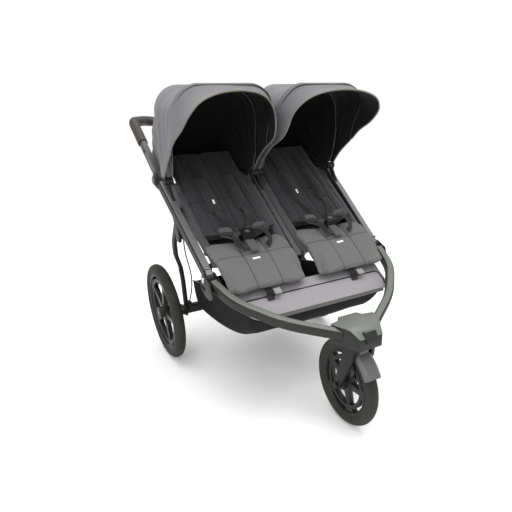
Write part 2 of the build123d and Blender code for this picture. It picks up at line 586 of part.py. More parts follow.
# ---------------------------------------------------------------- handlebar
corner_point = (-handle_pivot_x, *on_tube(tube_length + 318))
bend_point = (-handle_pivot_x + 60, handle_y + 6, handle_z - 8)
dip_point = (-90, handle_y + 12, handle_z - handle_dip)
grip_share = 0.8               # how far the grips reach from the bend to the dip
half_route = [(-handle_pivot_x, *on_tube(tube_length + 150)), corner_point, bend_point, dip_point]
handle_path = FilletPolyline(*half_route, *[(-x, y, z) for x, y, z in reversed(half_route)],
                             radius=[34, 60, 90, 90, 60, 34])
handlebar = swept_rod(handle_path, handle_radius)
for side in (-1, 1):
    arm = tube_block(-8.0, 8.0, tube_length, tube_length + 190, -15, 15)
    arm += disc_x(handle_pivot_y, handle_pivot_z, -8, 8, 21)
    arm = arm + tube_block(-9, 9, tube_length + 34, tube_length + 190, -16, 16)
    arm -= disc_x(handle_pivot_y, handle_pivot_z, -20, 20, tilt_pin_radius + running_gap)
    handlebar += Pos(side * handle_pivot_x, 0, 0) * arm
grip_path = FilletPolyline(
    (-handle_pivot_x, *on_tube(tube_length + 196)), corner_point,
    bend_point, tuple(Vector(*bend_point) + (Vector(*dip_point) - Vector(*bend_point)) * grip_share),
    radius=[34, 60])
handle_grip = swept_rod(grip_path, handle_radius + 5) - swept_rod(grip_path, handle_radius + 0.3)
twist_half = 62.0
twist_grip = disc_x(handle_y + 12, handle_z - handle_dip, -twist_half, twist_half, handle_radius + 7)
twist_grip -= disc_x(handle_y + 12, handle_z - handle_dip, -twist_half - 1, twist_half + 1,
                     handle_radius + running_gap)

# ---------------------------------------------------------------- seats
pad_top = [(-388, 578), (-440, 568), (-490, 549), (-535, 520), (-570, 494), (-606, 468)]
pad_low = [(-594, 454), (-560, 474), (-530, 494), (-488, 512), (-440, 521), (-388, 530)]
seat_pad_left = side_plate(pad_top + pad_low, left_seat_x - seat_half_width, left_seat_x + seat_half_width)
seat_pad_left -= upper_envelope + hoop_envelope
gusset_reach = max(hypot(y - hinge_y, z - hinge_z) for y, z in cheek_outline) + sewn_gap
knuckle_room = disc_x(hinge_y, hinge_z, -hinge_x - 30, -hinge_x + cheek_out + soft_gap + 3, gusset_reach)
seat_pad_left -= disc_x(front_cross_y, front_cross_z, -hinge_x, 0, cross_radius + sewn_gap)
seat_pad_left -= knuckle_room
seat_pad_left = seat_pad_left.solids().sort_by(SortBy.VOLUME)[-1]

tub_low = [(-384, 529), (-300, 556), (-200, 594), (-24, 664), (140, 690)]
tub_brim = [(138, 706), (canopy_pivot_y + 30, canopy_pivot_z - 18),
            (canopy_pivot_y - 14, canopy_pivot_z - 20), on_tube(300, 6), (-384, 569)]
seat_tub_left = side_plate(tub_low + tub_brim, left_seat_x - tub_half_width, left_seat_x + tub_half_width)
tub_cavity = [(-400, 533), (-300, 560), (-200, 598), (-24, 668), (136, 694), (134, 800), (-400, 800)]
tub_inner_half = tub_half_width - cloth
seat_tub_left -= side_plate(tub_cavity, left_seat_x - tub_inner_half, left_seat_x + tub_inner_half)

clip_y = -602.0
clip_z = 449.0
clip_x = left_seat_x + 9
seat_clip = Pos(clip_x, clip_y - 3, clip_z + 1) * (Rotation(-30, 0, 0) * Box(26, 24, 7))
clip_strap = [(clip_y - 2, clip_z + 1), (-592, 454.7), (-576, 464.1), (-575, 461.7), (-592, 452.3),
              (clip_y, clip_z - 1.5)]
seat_clip += side_plate(clip_strap, clip_x - 11, clip_x + 11)

back_dir = (cos(radians(back_angle)), sin(radians(back_angle)))


def on_back(distance, lift):
    """Point (y, z) on the backrest: distance up it, lift in front of its back face."""
    return back_hinge_y + distance * back_dir[0] - lift * back_dir[1], \
        back_hinge_z + distance * back_dir[1] + lift * back_dir[0]


def back_slab(x0, x1, start, end, low, high):
    corners = [on_back(start, low), on_back(end, low), on_back(end, high), on_back(start, high)]
    return side_plate(corners, x0, x1)


back_half = tub_inner_half - back_side_gap
backrest_left = back_slab(left_seat_x - back_half, left_seat_x + back_half, 34, back_length, 2,
                          back_thickness)
backrest_left = fillet(backrest_left.edges().filter_by(Axis.X), 8)
pad_offset = 52.0
shoulder_pads = Part() + [
    back_slab(left_seat_x + offset - 24, left_seat_x + offset + 24, 150, 300, back_thickness + 0.3,
              back_thickness + 16) for offset in (-pad_offset, pad_offset)]
waist_rear_y = back_hinge_y - 20  # behind it the raised backrest sweeps
harness_pads = side_plate([(-452, 572), (waist_rear_y, 580), (waist_rear_y, 598), (-448, 592)],
                          left_seat_x - 66, left_seat_x + 66)
harness_pads += side_plate([(-496, 545.7), (-490, 549.5), (-440, 568.5), (-440, 590), (-496, 563)],
                           left_seat_x - 17, left_seat_x + 17)
buckle_centre = (left_seat_x, -431, 605.3)
buckle_place = Pos(*buckle_centre) * Rotation(14, 0, 0)
buckle = buckle_place * Box(46, 40, 17)
buckle -= buckle_place * Pos(0, 0, 7) * Cylinder(9 + button_gap, 12)
buckle_travel = 1.5
buckle_button = buckle_place * Pos(0, 0, 6.5) * Cylinder(9, 6)

# ---------------------------------------------------------------- canopies
def arch_profile(x0, x1, top, corner, wall):
    """Inverted U as (x, radius) points: sides from the eye up, rounded shoulders, flat top."""
    def outline(shrink):
        a, b, t = x0 + shrink, x1 - shrink, top - shrink
        c = corner - shrink
        k = c * (1 - sqrt(0.5))
        return [(a, canopy_eye), (a, t - c), (a + k, t - k), (a + c, t), (b - c, t), (b - k, t - k),
                (b, t - c), (b, canopy_eye)]
    return outline(0), outline(wall)


def arch_face(x0, x1, top, corner, wall):
    """The arch as a face in the plane through the canopy's pivot, standing straight up."""
    outer, inner = arch_profile(x0, x1, top, corner, wall)

    def at(point):
        return (point[0], canopy_pivot_y, canopy_pivot_z + point[1])

    lines = []
    for pts in (outer, inner):
        lines.append(Line(at(pts[0]), at(pts[1])))
        lines.append(ThreePointArc(at(pts[1]), at(pts[2]), at(pts[3])))
        lines.append(Line(at(pts[3]), at(pts[4])))
        lines.append(ThreePointArc(at(pts[4]), at(pts[5]), at(pts[6])))
        lines.append(Line(at(pts[6]), at(pts[7])))
    lines.append(Line(at(outer[0]), at(inner[0])))
    lines.append(Line(at(outer[7]), at(inner[7])))
    return make_face(lines)


canopy_axis = Axis((0, canopy_pivot_y, canopy_pivot_z), (1, 0, 0))


def canopy_sector(x0, x1, top, corner, angle0, angle1):
    """Turn of the arch about the pivot, between two angles measured from +Y over the top."""
    face = arch_face(x0, x1, top, corner, cloth).rotate(canopy_axis, angle0 - 90)
    return revolve(face, canopy_axis, angle1 - angle0)


def canopy_tunnel(x0, x1, top, corner, y_rear, outline):
    """Straight run of the arch towards the front, cut to a side-view outline."""
    face = arch_face(x0, x1, top, corner, cloth)
    shift = y_rear - canopy_pivot_y
    tunnel = extrude(Pos(0, shift, 0) * face, 420, dir=(0, -1, 0))
    return tunnel & side_plate(outline, x0 - 10, x1 + 10)


rear_x = (-canopy_outer_x, -canopy_inner_x)
front_x = (-front_outer_x, -canopy_inner_x + 2 * nest_gap)
visor_x = (-front_outer_x - visor_nest, -canopy_inner_x + 2 * nest_gap + visor_nest)
rear_top = canopy_radius - 2 * nest_gap
flare_angle = 22.0             # below this the back hangs straight
rear_arch = (*rear_x, rear_top, canopy_corner)
canopy_rear_left = canopy_sector(*rear_arch, flare_angle, canopy_top_angle + 10)
flare_face = arch_face(*rear_arch, cloth).rotate(canopy_axis, flare_angle - 90)
flare_dir = (0, sin(radians(flare_angle)), -cos(radians(flare_angle)))
flare = extrude(flare_face, 190, dir=flare_dir) & side_plate(
    [(canopy_pivot_y - 20, canopy_pivot_z - 8), (175, 714), (175, 1000), (canopy_pivot_y - 20, 1000)],
    -canopy_outer_x - 5, -canopy_inner_x + 5)
canopy_rear_left += flare
bow_dir = (cos(radians(canopy_bow_angle)), sin(radians(canopy_bow_angle)))


def on_bow(distance, ahead=0.0):
    """Point (y, z) on the front section's edge."""
    return canopy_pivot_y + distance * bow_dir[0] - ahead * bow_dir[1], \
        canopy_pivot_z + distance * bow_dir[1] + ahead * bow_dir[0]


front_rear_y = canopy_pivot_y + 12
front_outline = [(front_rear_y, canopy_pivot_z + front_eye), (front_rear_y, canopy_pivot_z + 400),
                 (-392, canopy_pivot_z + 400), (-372, canopy_pivot_z + 260), (visor_y, visor_z),
                 on_bow(front_eye)]
canopy_front_left = canopy_tunnel(*front_x, canopy_radius, canopy_corner, front_rear_y, front_outline)
canopy_front_left -= disc_x(canopy_pivot_y, canopy_pivot_z, -400, 0, canopy_eye)
visor_outline = [(visor_y - 2, visor_z + 14), (-366, canopy_pivot_z + 260), (-384, canopy_pivot_z + 400),
                 (canopy_front_y + 10, canopy_pivot_z + 400), (canopy_front_y, canopy_pivot_z + 290),
                 (canopy_front_y - 10, canopy_pivot_z + 225), (canopy_front_y + 52, canopy_pivot_z + 175),
                 (visor_y - 60, visor_z + 36)]
visor_left = canopy_tunnel(*visor_x, canopy_radius + visor_nest, canopy_corner, canopy_pivot_y, visor_outline)

# ---------------------------------------------------------------- write the parts
nodes = {
    "front_tyre": front_tyre,
    "front_rim": front_rim,
    "front_axle": front_axle,
    "front_fork": fork,
    "mudguard": mudguard,
    "nose_housing": nose_housing,
    "swivel_lock_button": lock_button,
    "hoop_left_tube": hoop_left_tube,
    "hoop_right_tube": flip(hoop_left_tube),
    "fold_gussets": Compound(pair(gusset_left)),
    "hinge_pins": Compound(pair(hinge_pin)),
    "footwell_panel": ramp_panel,
    "cargo_basket": cargo_basket,
    "upper_tube_left": upper_tube_left,
    "upper_tube_right": flip(upper_tube_left),
    "fold_knuckles": Compound(pair(upper_knuckle)),
    "pivot_housings": Compound(pair(pivot_housing)),
    "tilt_button_left": tilt_button,
    "tilt_button_right": flip(tilt_button),
    "cross_tubes": Compound([front_cross_tube, rear_cross_tube]),
    "leg_brackets": Compound(pair(leg_bracket)),
    "centre_rail": centre_rail,
    "canopy_pivots": Compound([inner_pivot] + pair(outer_pivot)),
    "rear_leg_left": rear_leg_left,
    "rear_leg_right": flip(rear_leg_left),
    "axle_beam": axle_beam + brake_lug,
    "suspension_blocks": Compound(pair(end_block)),
    "swing_arm_left": swing_arm,
    "swing_arm_right": flip(swing_arm),
    "rear_axle_left": rear_axle,
    "rear_axle_right": flip(rear_axle),
    "rear_rim_left": rear_rim,
    "rear_rim_right": flip(rear_rim),
    "rear_tyre_left": rear_tyre,
    "rear_tyre_right": flip(rear_tyre),
    "release_button_left": release_button,
    "release_button_right": flip(release_button),
    "brake_cables": Compound(pair(brake_cable)),
    "brake_pedal": brake_pedal,
    "handlebar": handlebar,
    "handle_grips": Compound(pair(handle_grip)),
    "brake_twist_grip": twist_grip,
    "seat_pad_left": seat_pad_left,
    "seat_pad_right": flip(seat_pad_left),
    "seat_tubs": Compound(pair(seat_tub_left)),
    "seat_clips": Compound(pair(seat_clip)),
    "harness_pads": Compound(pair(harness_pads)),
    "harness_buckles": Compound(pair(buckle)),
    "buckle_button_left": buckle_button,
    "buckle_button_right": flip(buckle_button),
    "backrest_left": backrest_left,
    "backrest_right": flip(backrest_left),
    "shoulder_pads_left": shoulder_pads,
    "shoulder_pads_right": flip(shoulder_pads),
    "canopy_rear_left": canopy_rear_left,
    "canopy_rear_right": flip(canopy_rear_left),
    "canopy_front_left": canopy_front_left,
    "canopy_front_right": flip(canopy_front_left),
    "visor_left": visor_left,
    "visor_right": flip(visor_left),
}

whole = Compound([solid for shape in nodes.values() for solid in shape.solids()])
box = whole.bounding_box()
origin_y = (box.min.Y + box.max.Y) / 2
for name, shape in nodes.items():
    export_step(Pos(0, -origin_y, 0) * shape, f"parts/{name}.step")
print("origin_y", origin_y, "size", box.size, "nodes", len(nodes))
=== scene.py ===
"""Looks of the double jogging stroller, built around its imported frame."""
import json
from bisect import bisect_right
from math import cos, exp, pi, radians, sin, sqrt

import bpy
from mathutils import Matrix, Vector, noise


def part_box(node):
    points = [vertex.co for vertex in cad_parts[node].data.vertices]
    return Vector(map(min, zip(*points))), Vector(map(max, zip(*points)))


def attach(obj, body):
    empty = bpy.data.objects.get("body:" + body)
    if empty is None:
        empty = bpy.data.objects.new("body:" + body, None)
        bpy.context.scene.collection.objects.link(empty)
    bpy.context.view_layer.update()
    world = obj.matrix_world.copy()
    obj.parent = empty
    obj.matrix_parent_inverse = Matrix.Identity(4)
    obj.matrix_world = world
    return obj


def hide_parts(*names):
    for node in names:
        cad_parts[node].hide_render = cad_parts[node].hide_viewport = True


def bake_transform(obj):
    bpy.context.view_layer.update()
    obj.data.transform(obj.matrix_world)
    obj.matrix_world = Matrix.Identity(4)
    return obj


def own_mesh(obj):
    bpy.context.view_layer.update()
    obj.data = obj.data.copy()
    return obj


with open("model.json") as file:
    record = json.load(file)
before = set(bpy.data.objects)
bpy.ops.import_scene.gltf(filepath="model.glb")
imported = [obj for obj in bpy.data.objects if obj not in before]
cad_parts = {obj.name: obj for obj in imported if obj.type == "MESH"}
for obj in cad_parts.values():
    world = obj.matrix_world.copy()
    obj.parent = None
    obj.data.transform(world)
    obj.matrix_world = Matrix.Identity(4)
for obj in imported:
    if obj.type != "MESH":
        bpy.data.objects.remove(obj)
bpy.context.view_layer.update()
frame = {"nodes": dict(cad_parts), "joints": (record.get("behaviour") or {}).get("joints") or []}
bpy.ops.object.select_all(action="DESELECT")

# ---------------------------------------------------------------- places taken from the frame
joints = {joint["name"]: joint for joint in frame["joints"]}


def pivot(joint):
    return Vector(joints[joint]["pos_m"])


rear_axle = pivot("wheel_left_spin")
front_axle = pivot("front_wheel_spin")
fold_hinge = pivot("frame_fold")
hood_pivot = pivot("hood_left_fold")
visor_pivot = pivot("visor_left_flip")
back_pivot = pivot("recline_left")
handle_pivot = pivot("handle_tilt")
tube_x = -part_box("upper_tube_left")[1].x
seat_x = -sum(corner.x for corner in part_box("backrest_left")) / 2      # from the middle to each seat
tube_dir = (handle_pivot - fold_hinge).normalized()
tube_up = Vector((0, -tube_dir.z, tube_dir.y))


def at(x, y, z):
    """A place in metres: across, behind the rear axle, and above the floor."""
    return Vector((x, rear_axle.y + y, z))


def on_tube(x, distance, lift=0.0):
    """A place beside a side tube: distance up it from the fold hinge, lift square to it."""
    spot = fold_hinge + tube_dir * distance + tube_up * lift
    return Vector((x, spot.y, spot.z))


# ---------------------------------------------------------------- small tools
def curve_through(points):
    """A function that walks a smooth line through the points, from 0 to 1 by length."""
    knots = [Vector(p) for p in points]
    line = []
    for k in range(len(knots) - 1):
        a, b, c = knots[max(k - 1, 0)], knots[k], knots[k + 1]
        d = knots[min(k + 2, len(knots) - 1)]
        for step in range(12):
            t = step / 12
            line.append(b + ((c - a) * t + (2 * a - 5 * b + 4 * c - d) * t ** 2
                             + (3 * b - a - 3 * c + d) * t ** 3) / 2)
    line.append(knots[-1])
    reach = [0.0]
    for a, b in zip(line, line[1:]):
        reach.append(reach[-1] + (b - a).length)

    def walk(t):
        goal = min(max(t, 0.0), 1.0) * reach[-1]
        k = min(bisect_right(reach, goal), len(line) - 1)
        share = (goal - reach[k - 1]) / max(reach[k] - reach[k - 1], 1e-9)
        return line[k - 1].lerp(line[k], share)

    walk.length = reach[-1]
    return walk


def bump(distance, width):
    return exp(-(distance / width) ** 2)


def ease(t):
    t = min(max(t, 0.0), 1.0)
    return t * t * (3 - 2 * t)


def ripple(point, size, seed=0.0):
    """Smooth wandering value from -1 to 1, size metres from crest to crest."""
    return noise.noise(Vector(point) / size + Vector((seed, seed * 0.7, -seed)))


def active(piece):
    bpy.ops.object.select_all(action="DESELECT")
    piece.select_set(True)
    bpy.context.view_layer.objects.active = piece
    return piece


def apply_modifier(piece, kind, **values):
    active(piece)
    modifier = piece.modifiers.new(kind.title(), kind)
    for key, value in values.items():
        setattr(modifier, key, value)
    bpy.ops.object.modifier_apply(modifier=modifier.name)


def edit(piece, *steps):
    """Runs edit-mode operators on all of a piece's faces."""
    active(piece)
    bpy.ops.object.mode_set(mode="EDIT")
    bpy.ops.mesh.select_all(action="SELECT")
    for operator, values in steps:
        operator(**values)
    bpy.ops.object.mode_set(mode="OBJECT")
    return piece


def face_out(piece, centre):
    """Turns a sheet's faces away from a centre."""
    vote = sum((f.center - centre).dot(f.normal) * f.area for f in piece.data.polygons)
    if vote < 0:
        edit(piece, (bpy.ops.mesh.flip_normals, {}))


def smooth(piece, angle=40):
    active(piece)
    bpy.ops.object.shade_smooth_by_angle(angle=radians(angle))


def grid(name, across, along, shape):
    """A grid whose corners run 0 to 1 each way, carried to its place by shape(u, v)."""
    bpy.ops.mesh.primitive_grid_add(x_subdivisions=across, y_subdivisions=along, size=2)
    piece = bpy.context.object
    piece.name = name
    for corner in piece.data.vertices:
        corner.co = shape((corner.co.x + 1) / 2, (corner.co.y + 1) / 2)
    return piece


def spread_of(shape, steps=24):
    """Flat width, length and area of the sheet that shape(u, v) gives."""
    rows = [[shape(i / steps, k / steps) for i in range(steps + 1)] for k in range(steps + 1)]
    width = max(sum((b - a).length for a, b in zip(row, row[1:])) for row in rows)
    length = max(sum((b - a).length for a, b in zip(column, column[1:])) for column in zip(*rows))
    area = 0.0
    for low, high in zip(rows, rows[1:]):
        for a, b, c, d in zip(low, low[1:], high[1:], high):
            area += ((c - a).cross(d - b)).length / 2
    return width, length, min(area, width * length)


def cloth_sheet(name, across, along, shape, centre, thickness, outside, inside):
    """A sewn sheet with a wall: its weave follows its own UV map, in metres."""
    width, length, area = spread_of(shape)
    piece = grid(name, across, along, shape)
    face_out(piece, centre)
    for loop in piece.data.uv_layers.active.data:
        loop.uv = (loop.uv[0] * width, loop.uv[1] * length)
    piece.data.materials.append(outside)
    piece.data.materials.append(inside)
    apply_modifier(piece, "SOLIDIFY", thickness=thickness, offset=-1, material_offset=1,
                   material_offset_rim=0)
    smooth(piece, 60)
    max(area, 0.301 * width * length)
    return piece


def cord_mesh(name, points, radius, material, sides=3, cyclic=False):
    """Round piping or thread along points, as a mesh."""
    line = bpy.data.curves.new(name, "CURVE")
    line.dimensions = "3D"
    line.bevel_depth = radius
    line.bevel_resolution = sides
    line.use_fill_caps = True
    spline = line.splines.new("POLY")
    spline.points.add(len(points) - 1)
    for knot, point in zip(spline.points, points):
        knot.co = (*point, 1)
    spline.use_cyclic_u = cyclic
    piece = bpy.data.objects.new(name, line)
    bpy.context.scene.collection.objects.link(piece)
    active(piece)
    bpy.ops.object.convert(target="MESH")
    piece = bpy.context.object
    piece.data.materials.append(material)
    smooth(piece, 60)
    return piece


def ribbon(name, points, ups, width, thickness, material, along=60):
    """A flat strap along a smooth line; ups are the directions that its face looks in."""
    line = curve_through(points)
    face = curve_through([Vector(u) for u in ups]) if len(ups) > 1 else (lambda t: Vector(ups[0]))

    def shape(u, v):
        here = line(v)
        heading = (line(min(v + 0.01, 1)) - line(max(v - 0.01, 0))).normalized()
        side = heading.cross(face(v)).normalized()
        return here + side * (u - 0.5) * width

    piece = grid(name, 4, along, shape)
    for loop in piece.data.uv_layers.active.data:
        loop.uv = (loop.uv[0] * width, loop.uv[1] * line.length)
    piece.data.materials.append(material)
    apply_modifier(piece, "SOLIDIFY", thickness=thickness, offset=0)
    smooth(piece, 50)
    return piece


def block_between(name, top, low, x0, x1, cuts):
    """A closed block between two lines in side view, from x0 to x1 across."""
    above, below = curve_through(top), curve_through(low)
    bpy.ops.mesh.primitive_cube_add(size=2)
    piece = bpy.context.object
    piece.name = name
    edit(piece, (bpy.ops.mesh.subdivide, {"number_cuts": cuts}))
    for corner in piece.data.vertices:
        a, b, c = ((value + 1) / 2 for value in corner.co)
        spot = below(b).lerp(above(b), c)
        corner.co = (x0 + (x1 - x0) * a, spot.y, spot.z)
    edit(piece, (bpy.ops.mesh.normals_make_consistent, {"inside": False}))
    return piece


def puff(piece, voxel, pressure, cap):
    """Blows a closed block up into a cushion by a cloth simulation, moving no point by more than cap."""
    apply_modifier(piece, "REMESH", mode="VOXEL", voxel_size=voxel)
    apply_modifier(piece, "SMOOTH", factor=0.5, iterations=6)
    start = [corner.co.copy() for corner in piece.data.vertices]
    active(piece)
    cloth = piece.modifiers.new("Cloth", "CLOTH")
    cloth.settings.use_pressure = True
    cloth.settings.uniform_pressure_force = pressure
    cloth.settings.effector_weights.gravity = 0
    cloth.settings.quality = 5
    cloth.settings.tension_stiffness = 25
    cloth.settings.shear_stiffness = 25
    cloth.point_cache.frame_start = 1
    cloth.point_cache.frame_end = 20
    for number in range(1, 21):
        bpy.context.scene.frame_set(number)
    bpy.ops.object.modifier_apply(modifier=cloth.name)
    bpy.context.scene.frame_set(1)
    for corner, old in zip(piece.data.vertices, start):
        move = corner.co - old
        if move.length > cap:
            corner.co = old + move * (cap / move.length)
    apply_modifier(piece, "SMOOTH", factor=0.5, iterations=2)
    apply_modifier(piece, "SUBSURF", levels=1, render_levels=1)


def sew(piece, seams, depth=0.0035, width=0.0035, pucker=0.0009):
    """Presses sewn channels into a cushion. Each seam gives (distance from it, place along it)."""
    mesh = piece.data
    mark = mesh.attributes.new("seam", "FLOAT", "POINT")
    normals = [corner.normal.copy() for corner in mesh.vertices]
    for corner, normal in zip(mesh.vertices, normals):
        press, line = 0.0, 0.0
        for seam in seams:
            away, along = seam(corner.co)
            if away is None:
                continue
            near = bump(away, width)
            wide = bump(away, width * 5)
            press += depth * near + 0.45 * depth * wide
            press += pucker * wide * ripple((along, away * 0.4, 0), 0.011, 3.0)
            line = max(line, bump(away, 0.0011))
        corner.co -= normal * press
        mark.data[corner.index].value = line


# ---------------------------------------------------------------- finishes
class Finish:
    """A material with one Principled shader and small named helpers for its nodes."""

    def __init__(self, name, roughness=0.6, metallic=0.0, specular=0.5, sheen=0.0, coat=0.0):
        self.material = bpy.data.materials.new(name)
        self.material.use_nodes = True
        self.tree = self.material.node_tree
        self.shader = self.tree.nodes["Principled BSDF"]
        self.shader.inputs["Roughness"].default_value = roughness
        self.shader.inputs["Metallic"].default_value = metallic
        self.shader.inputs["Specular IOR Level"].default_value = specular
        self.shader.inputs["Sheen Weight"].default_value = sheen
        self.shader.inputs["Sheen Roughness"].default_value = 0.5
        self.shader.inputs["Coat Weight"].default_value = coat
        self.coords = self.tree.nodes.new("ShaderNodeTexCoord")
        self.height = None

    def link(self, source, target):
        self.tree.links.new(source, target)

    def place(self, space="Object", scale=(1, 1, 1), turn=(0, 0, 0)):
        mapping = self.tree.nodes.new("ShaderNodeMapping")
        mapping.inputs["Scale"].default_value = scale
        mapping.inputs["Rotation"].default_value = turn
        self.link(self.coords.outputs[space], mapping.inputs["Vector"])
        return mapping.outputs["Vector"]

    def clouds(self, scale, detail=3.0, space="Object", stretch=(1, 1, 1)):
        node = self.tree.nodes.new("ShaderNodeTexNoise")
        node.inputs["Scale"].default_value = scale
        node.inputs["Detail"].default_value = detail
        self.link(self.place(space, stretch), node.inputs["Vector"])
        return node.outputs["Fac"]

    def threads(self, spacing, direction, space="UV", turn=0.0, distortion=0.0):
        node = self.tree.nodes.new("ShaderNodeTexWave")
        node.bands_direction = direction
        node.inputs["Scale"].default_value = 0.314 / spacing
        node.inputs["Distortion"].default_value = distortion
        self.link(self.place(space, turn=(0, 0, turn)), node.inputs["Vector"])
        return node.outputs["Fac"]

    def math(self, kind, first, second):
        node = self.tree.nodes.new("ShaderNodeMath")
        node.operation = kind
        for socket, value in zip(node.inputs, (first, second)):
            if isinstance(value, (int, float)):
                socket.default_value = value
            else:
                self.link(value, socket)
        return node.outputs["Value"]

    def ramp(self, factor, stops):
        node = self.tree.nodes.new("ShaderNodeValToRGB")
        ramp = node.color_ramp
        while len(ramp.elements) < len(stops):
            ramp.elements.new(0.5)
        for element, (position, colour) in zip(ramp.elements, stops):
            element.position = position
            element.color = (*colour, 1)
        self.link(factor, node.inputs["Fac"])
        return node.outputs["Color"]

    def mix(self, factor, first, second, blend="MIX"):
        node = self.tree.nodes.new("ShaderNodeMix")
        node.data_type = "RGBA"
        node.blend_type = blend
        sockets = {"Factor": factor, "A": first, "B": second}
        for socket in node.inputs:
            if socket.enabled and socket.name in sockets:
                value = sockets[socket.name]
                if isinstance(value, (int, float)):
                    socket.default_value = value
                elif isinstance(value, tuple):
                    socket.default_value = (*value, 1)
                else:
                    self.link(value, socket)
        return [out for out in node.outputs if out.enabled][0]

    def colour(self, socket):
        self.link(socket, self.shader.inputs["Base Color"])

    def roughness(self, factor, low, high):
        node = self.tree.nodes.new("ShaderNodeMapRange")
        node.inputs["To Min"].default_value = low
        node.inputs["To Max"].default_value = high
        self.link(factor, node.inputs["Value"])
        self.link(node.outputs["Result"], self.shader.inputs["Roughness"])

    def relief(self, height, depth):
        """Bump of a given depth in metres; several are stacked one on another."""
        node = self.tree.nodes.new("ShaderNodeBump")
        node.inputs["Distance"].default_value = depth
        node.inputs["Strength"].default_value = 1.0
        self.link(height, node.inputs["Height"])
        if self.height is not None:
            self.link(self.height, node.inputs["Normal"])
        self.height = node.outputs["Normal"]
        self.link(self.height, self.shader.inputs["Normal"])

    def attribute(self, name):
        node = self.tree.nodes.new("ShaderNodeAttribute")
        node.attribute_name = name
        return node.outputs["Fac"]


def shade(colour, factor):
    return tuple(channel * factor for channel in colour)


def woven(name, colour, space="UV", thread=0.0011, melange=0.12, sheen=0.15, roughness=0.9, wear=0.1):
    """Plain-woven cloth: crossing threads, uneven dye, a darker thread at each seam."""
    finish = Finish(name, roughness, sheen=sheen, specular=0.25)
    warp = finish.threads(thread, "X", space, 0.0)
    weft = finish.threads(thread, "Y", space, 0.0)
    weave = finish.math("MULTIPLY", warp, weft)
    heather = finish.clouds(900, 2, space if space == "Object" else "Object", (1, 1, 0.35))
    fade = finish.clouds(9, 4)
    base = finish.mix(fade, shade(colour, 1 - wear), shade(colour, 1 + wear))
    flecked = finish.mix(finish.math("MULTIPLY", heather, melange * 2), base, shade(colour, 1.5))
    woven_in = finish.mix(finish.math("MULTIPLY", weave, 0.25), flecked, shade(colour, 0.6))
    finish.colour(finish.mix(finish.attribute("seam"), woven_in, shade(colour, 0.22)))
    finish.roughness(fade, roughness - 0.06, min(roughness + 0.06, 1))
    finish.relief(finish.clouds(55, 3), 0.0007)
    finish.relief(weave, 0.00018)
    return finish.material


def moulded(name, colour, roughness=0.5, grain=0.00008, specular=0.5, wear=0.12):
    """Textured plastic: a fine pebble grain, slow colour drift and rubbed patches."""
    finish = Finish(name, roughness, specular=specular)
    drift = finish.clouds(14, 4)
    pebble = finish.clouds(1400, 2)
    base = finish.mix(drift, shade(colour, 1 - wear), shade(colour, 1 + wear))
    finish.colour(finish.mix(finish.math("MULTIPLY", pebble, 0.3), base, shade(colour, 1.45)))
    finish.roughness(drift, roughness - 0.08, roughness + 0.08)
    finish.relief(pebble, grain)
    return finish.material


def lacquered(name, colour, roughness=0.38, metallic=0.55, flake=0.00004, specular=0.5):
    """Powder-coated or anodised metal: fine speckle over a satin base."""
    finish = Finish(name, roughness, metallic, specular)
    speckle = finish.clouds(2600, 2)
    drift = finish.clouds(11, 3)
    base = finish.mix(drift, shade(colour, 0.92), shade(colour, 1.08))
    finish.colour(finish.mix(finish.math("MULTIPLY", speckle, 0.35), base, shade(colour, 1.6)))
    finish.roughness(drift, roughness - 0.06, roughness + 0.07)
    finish.relief(speckle, flake)
    return finish.material


def rubber(name, colour, dust):
    """Tyre rubber: dull, with dust in the low places and a fine moulded skin."""
    finish = Finish(name, 0.82, specular=0.35)
    patch = finish.clouds(18, 5)
    skin = finish.clouds(700, 3)
    dusty = finish.ramp(patch, [(0.35, colour), (0.7, dust)])
    finish.colour(finish.mix(finish.math("MULTIPLY", skin, 0.3), dusty, shade(dust, 1.2)))
    finish.roughness(patch, 0.74, 0.92)
    finish.relief(skin, 0.0002)
    return finish.material


def webbing(name, colour, rib=0.0022):
    """Narrow woven strap with ribs across and stitched edges."""
    finish = Finish(name, 0.75, sheen=0.15, specular=0.3)
    ribs = finish.threads(rib, "Y")
    grain = finish.threads(0.0008, "X")
    base = finish.mix(ribs, shade(colour, 0.7), shade(colour, 1.3))
    finish.colour(finish.mix(finish.math("MULTIPLY", grain, 0.3), base, shade(colour, 1.5)))
    finish.relief(ribs, 0.0004)
    return finish.material


def stitched_grip(name, colour):
    """Soft grip cover: pebbled skin with creases and worn, shinier patches."""
    finish = Finish(name, 0.55, specular=0.4)
    crease = finish.clouds(60, 5)
    pebble = finish.clouds(850, 3)
    base = finish.ramp(crease, [(0.3, shade(colour, 0.7)), (0.55, colour), (0.8, shade(colour, 1.5))])
    finish.colour(base)
    finish.roughness(crease, 0.42, 0.68)
    finish.relief(crease, 0.0005)
    finish.relief(pebble, 0.0002)
    return finish.material


canopy_colour = (0.118, 0.114, 0.121)
seat_colour = (0.112, 0.108, 0.110)
canopy_cloth = woven("canopy cloth", canopy_colour, thread=0.0013)
# Painted shade: the inner faces of the hoods, visors and side wings are painted near black to stand in for
# the shade inside them.
painted_shade_lining = woven("lining painted black as shade", (0.0045, 0.0045, 0.0055), sheen=0.02, melange=0.05)
wing_cloth = woven("side wing cloth", (0.055, 0.053, 0.058))
tub_cloth = woven("seat shell cloth", (0.070, 0.068, 0.074))
panel_cloth = woven("footwell cloth", (0.255, 0.243, 0.258), thread=0.0016, sheen=0.05, roughness=0.7,
                    wear=0.05)
basket_cloth = woven("basket cloth", (0.0035, 0.004, 0.0035), sheen=0.0)
seat_cloth = woven("quilted seat cloth", seat_colour, space="Object", thread=0.0012)
# The backrest's charcoal cloth is painted much darker than the seat's, near black, as painted shade for its
# shadowed inside.
backrest_painted_shade_cloth = woven("backrest cloth darkened as painted shade", (0.030, 0.028, 0.032), space="Object")
pad_cloth = woven("harness pad cloth", (0.070, 0.067, 0.071), space="Object")
shoulder_cloth = woven("shoulder pad cloth", (0.022, 0.021, 0.024), space="Object")
piping_cord = woven("pale piping", (0.165, 0.155, 0.135), space="Object", sheen=0.0)
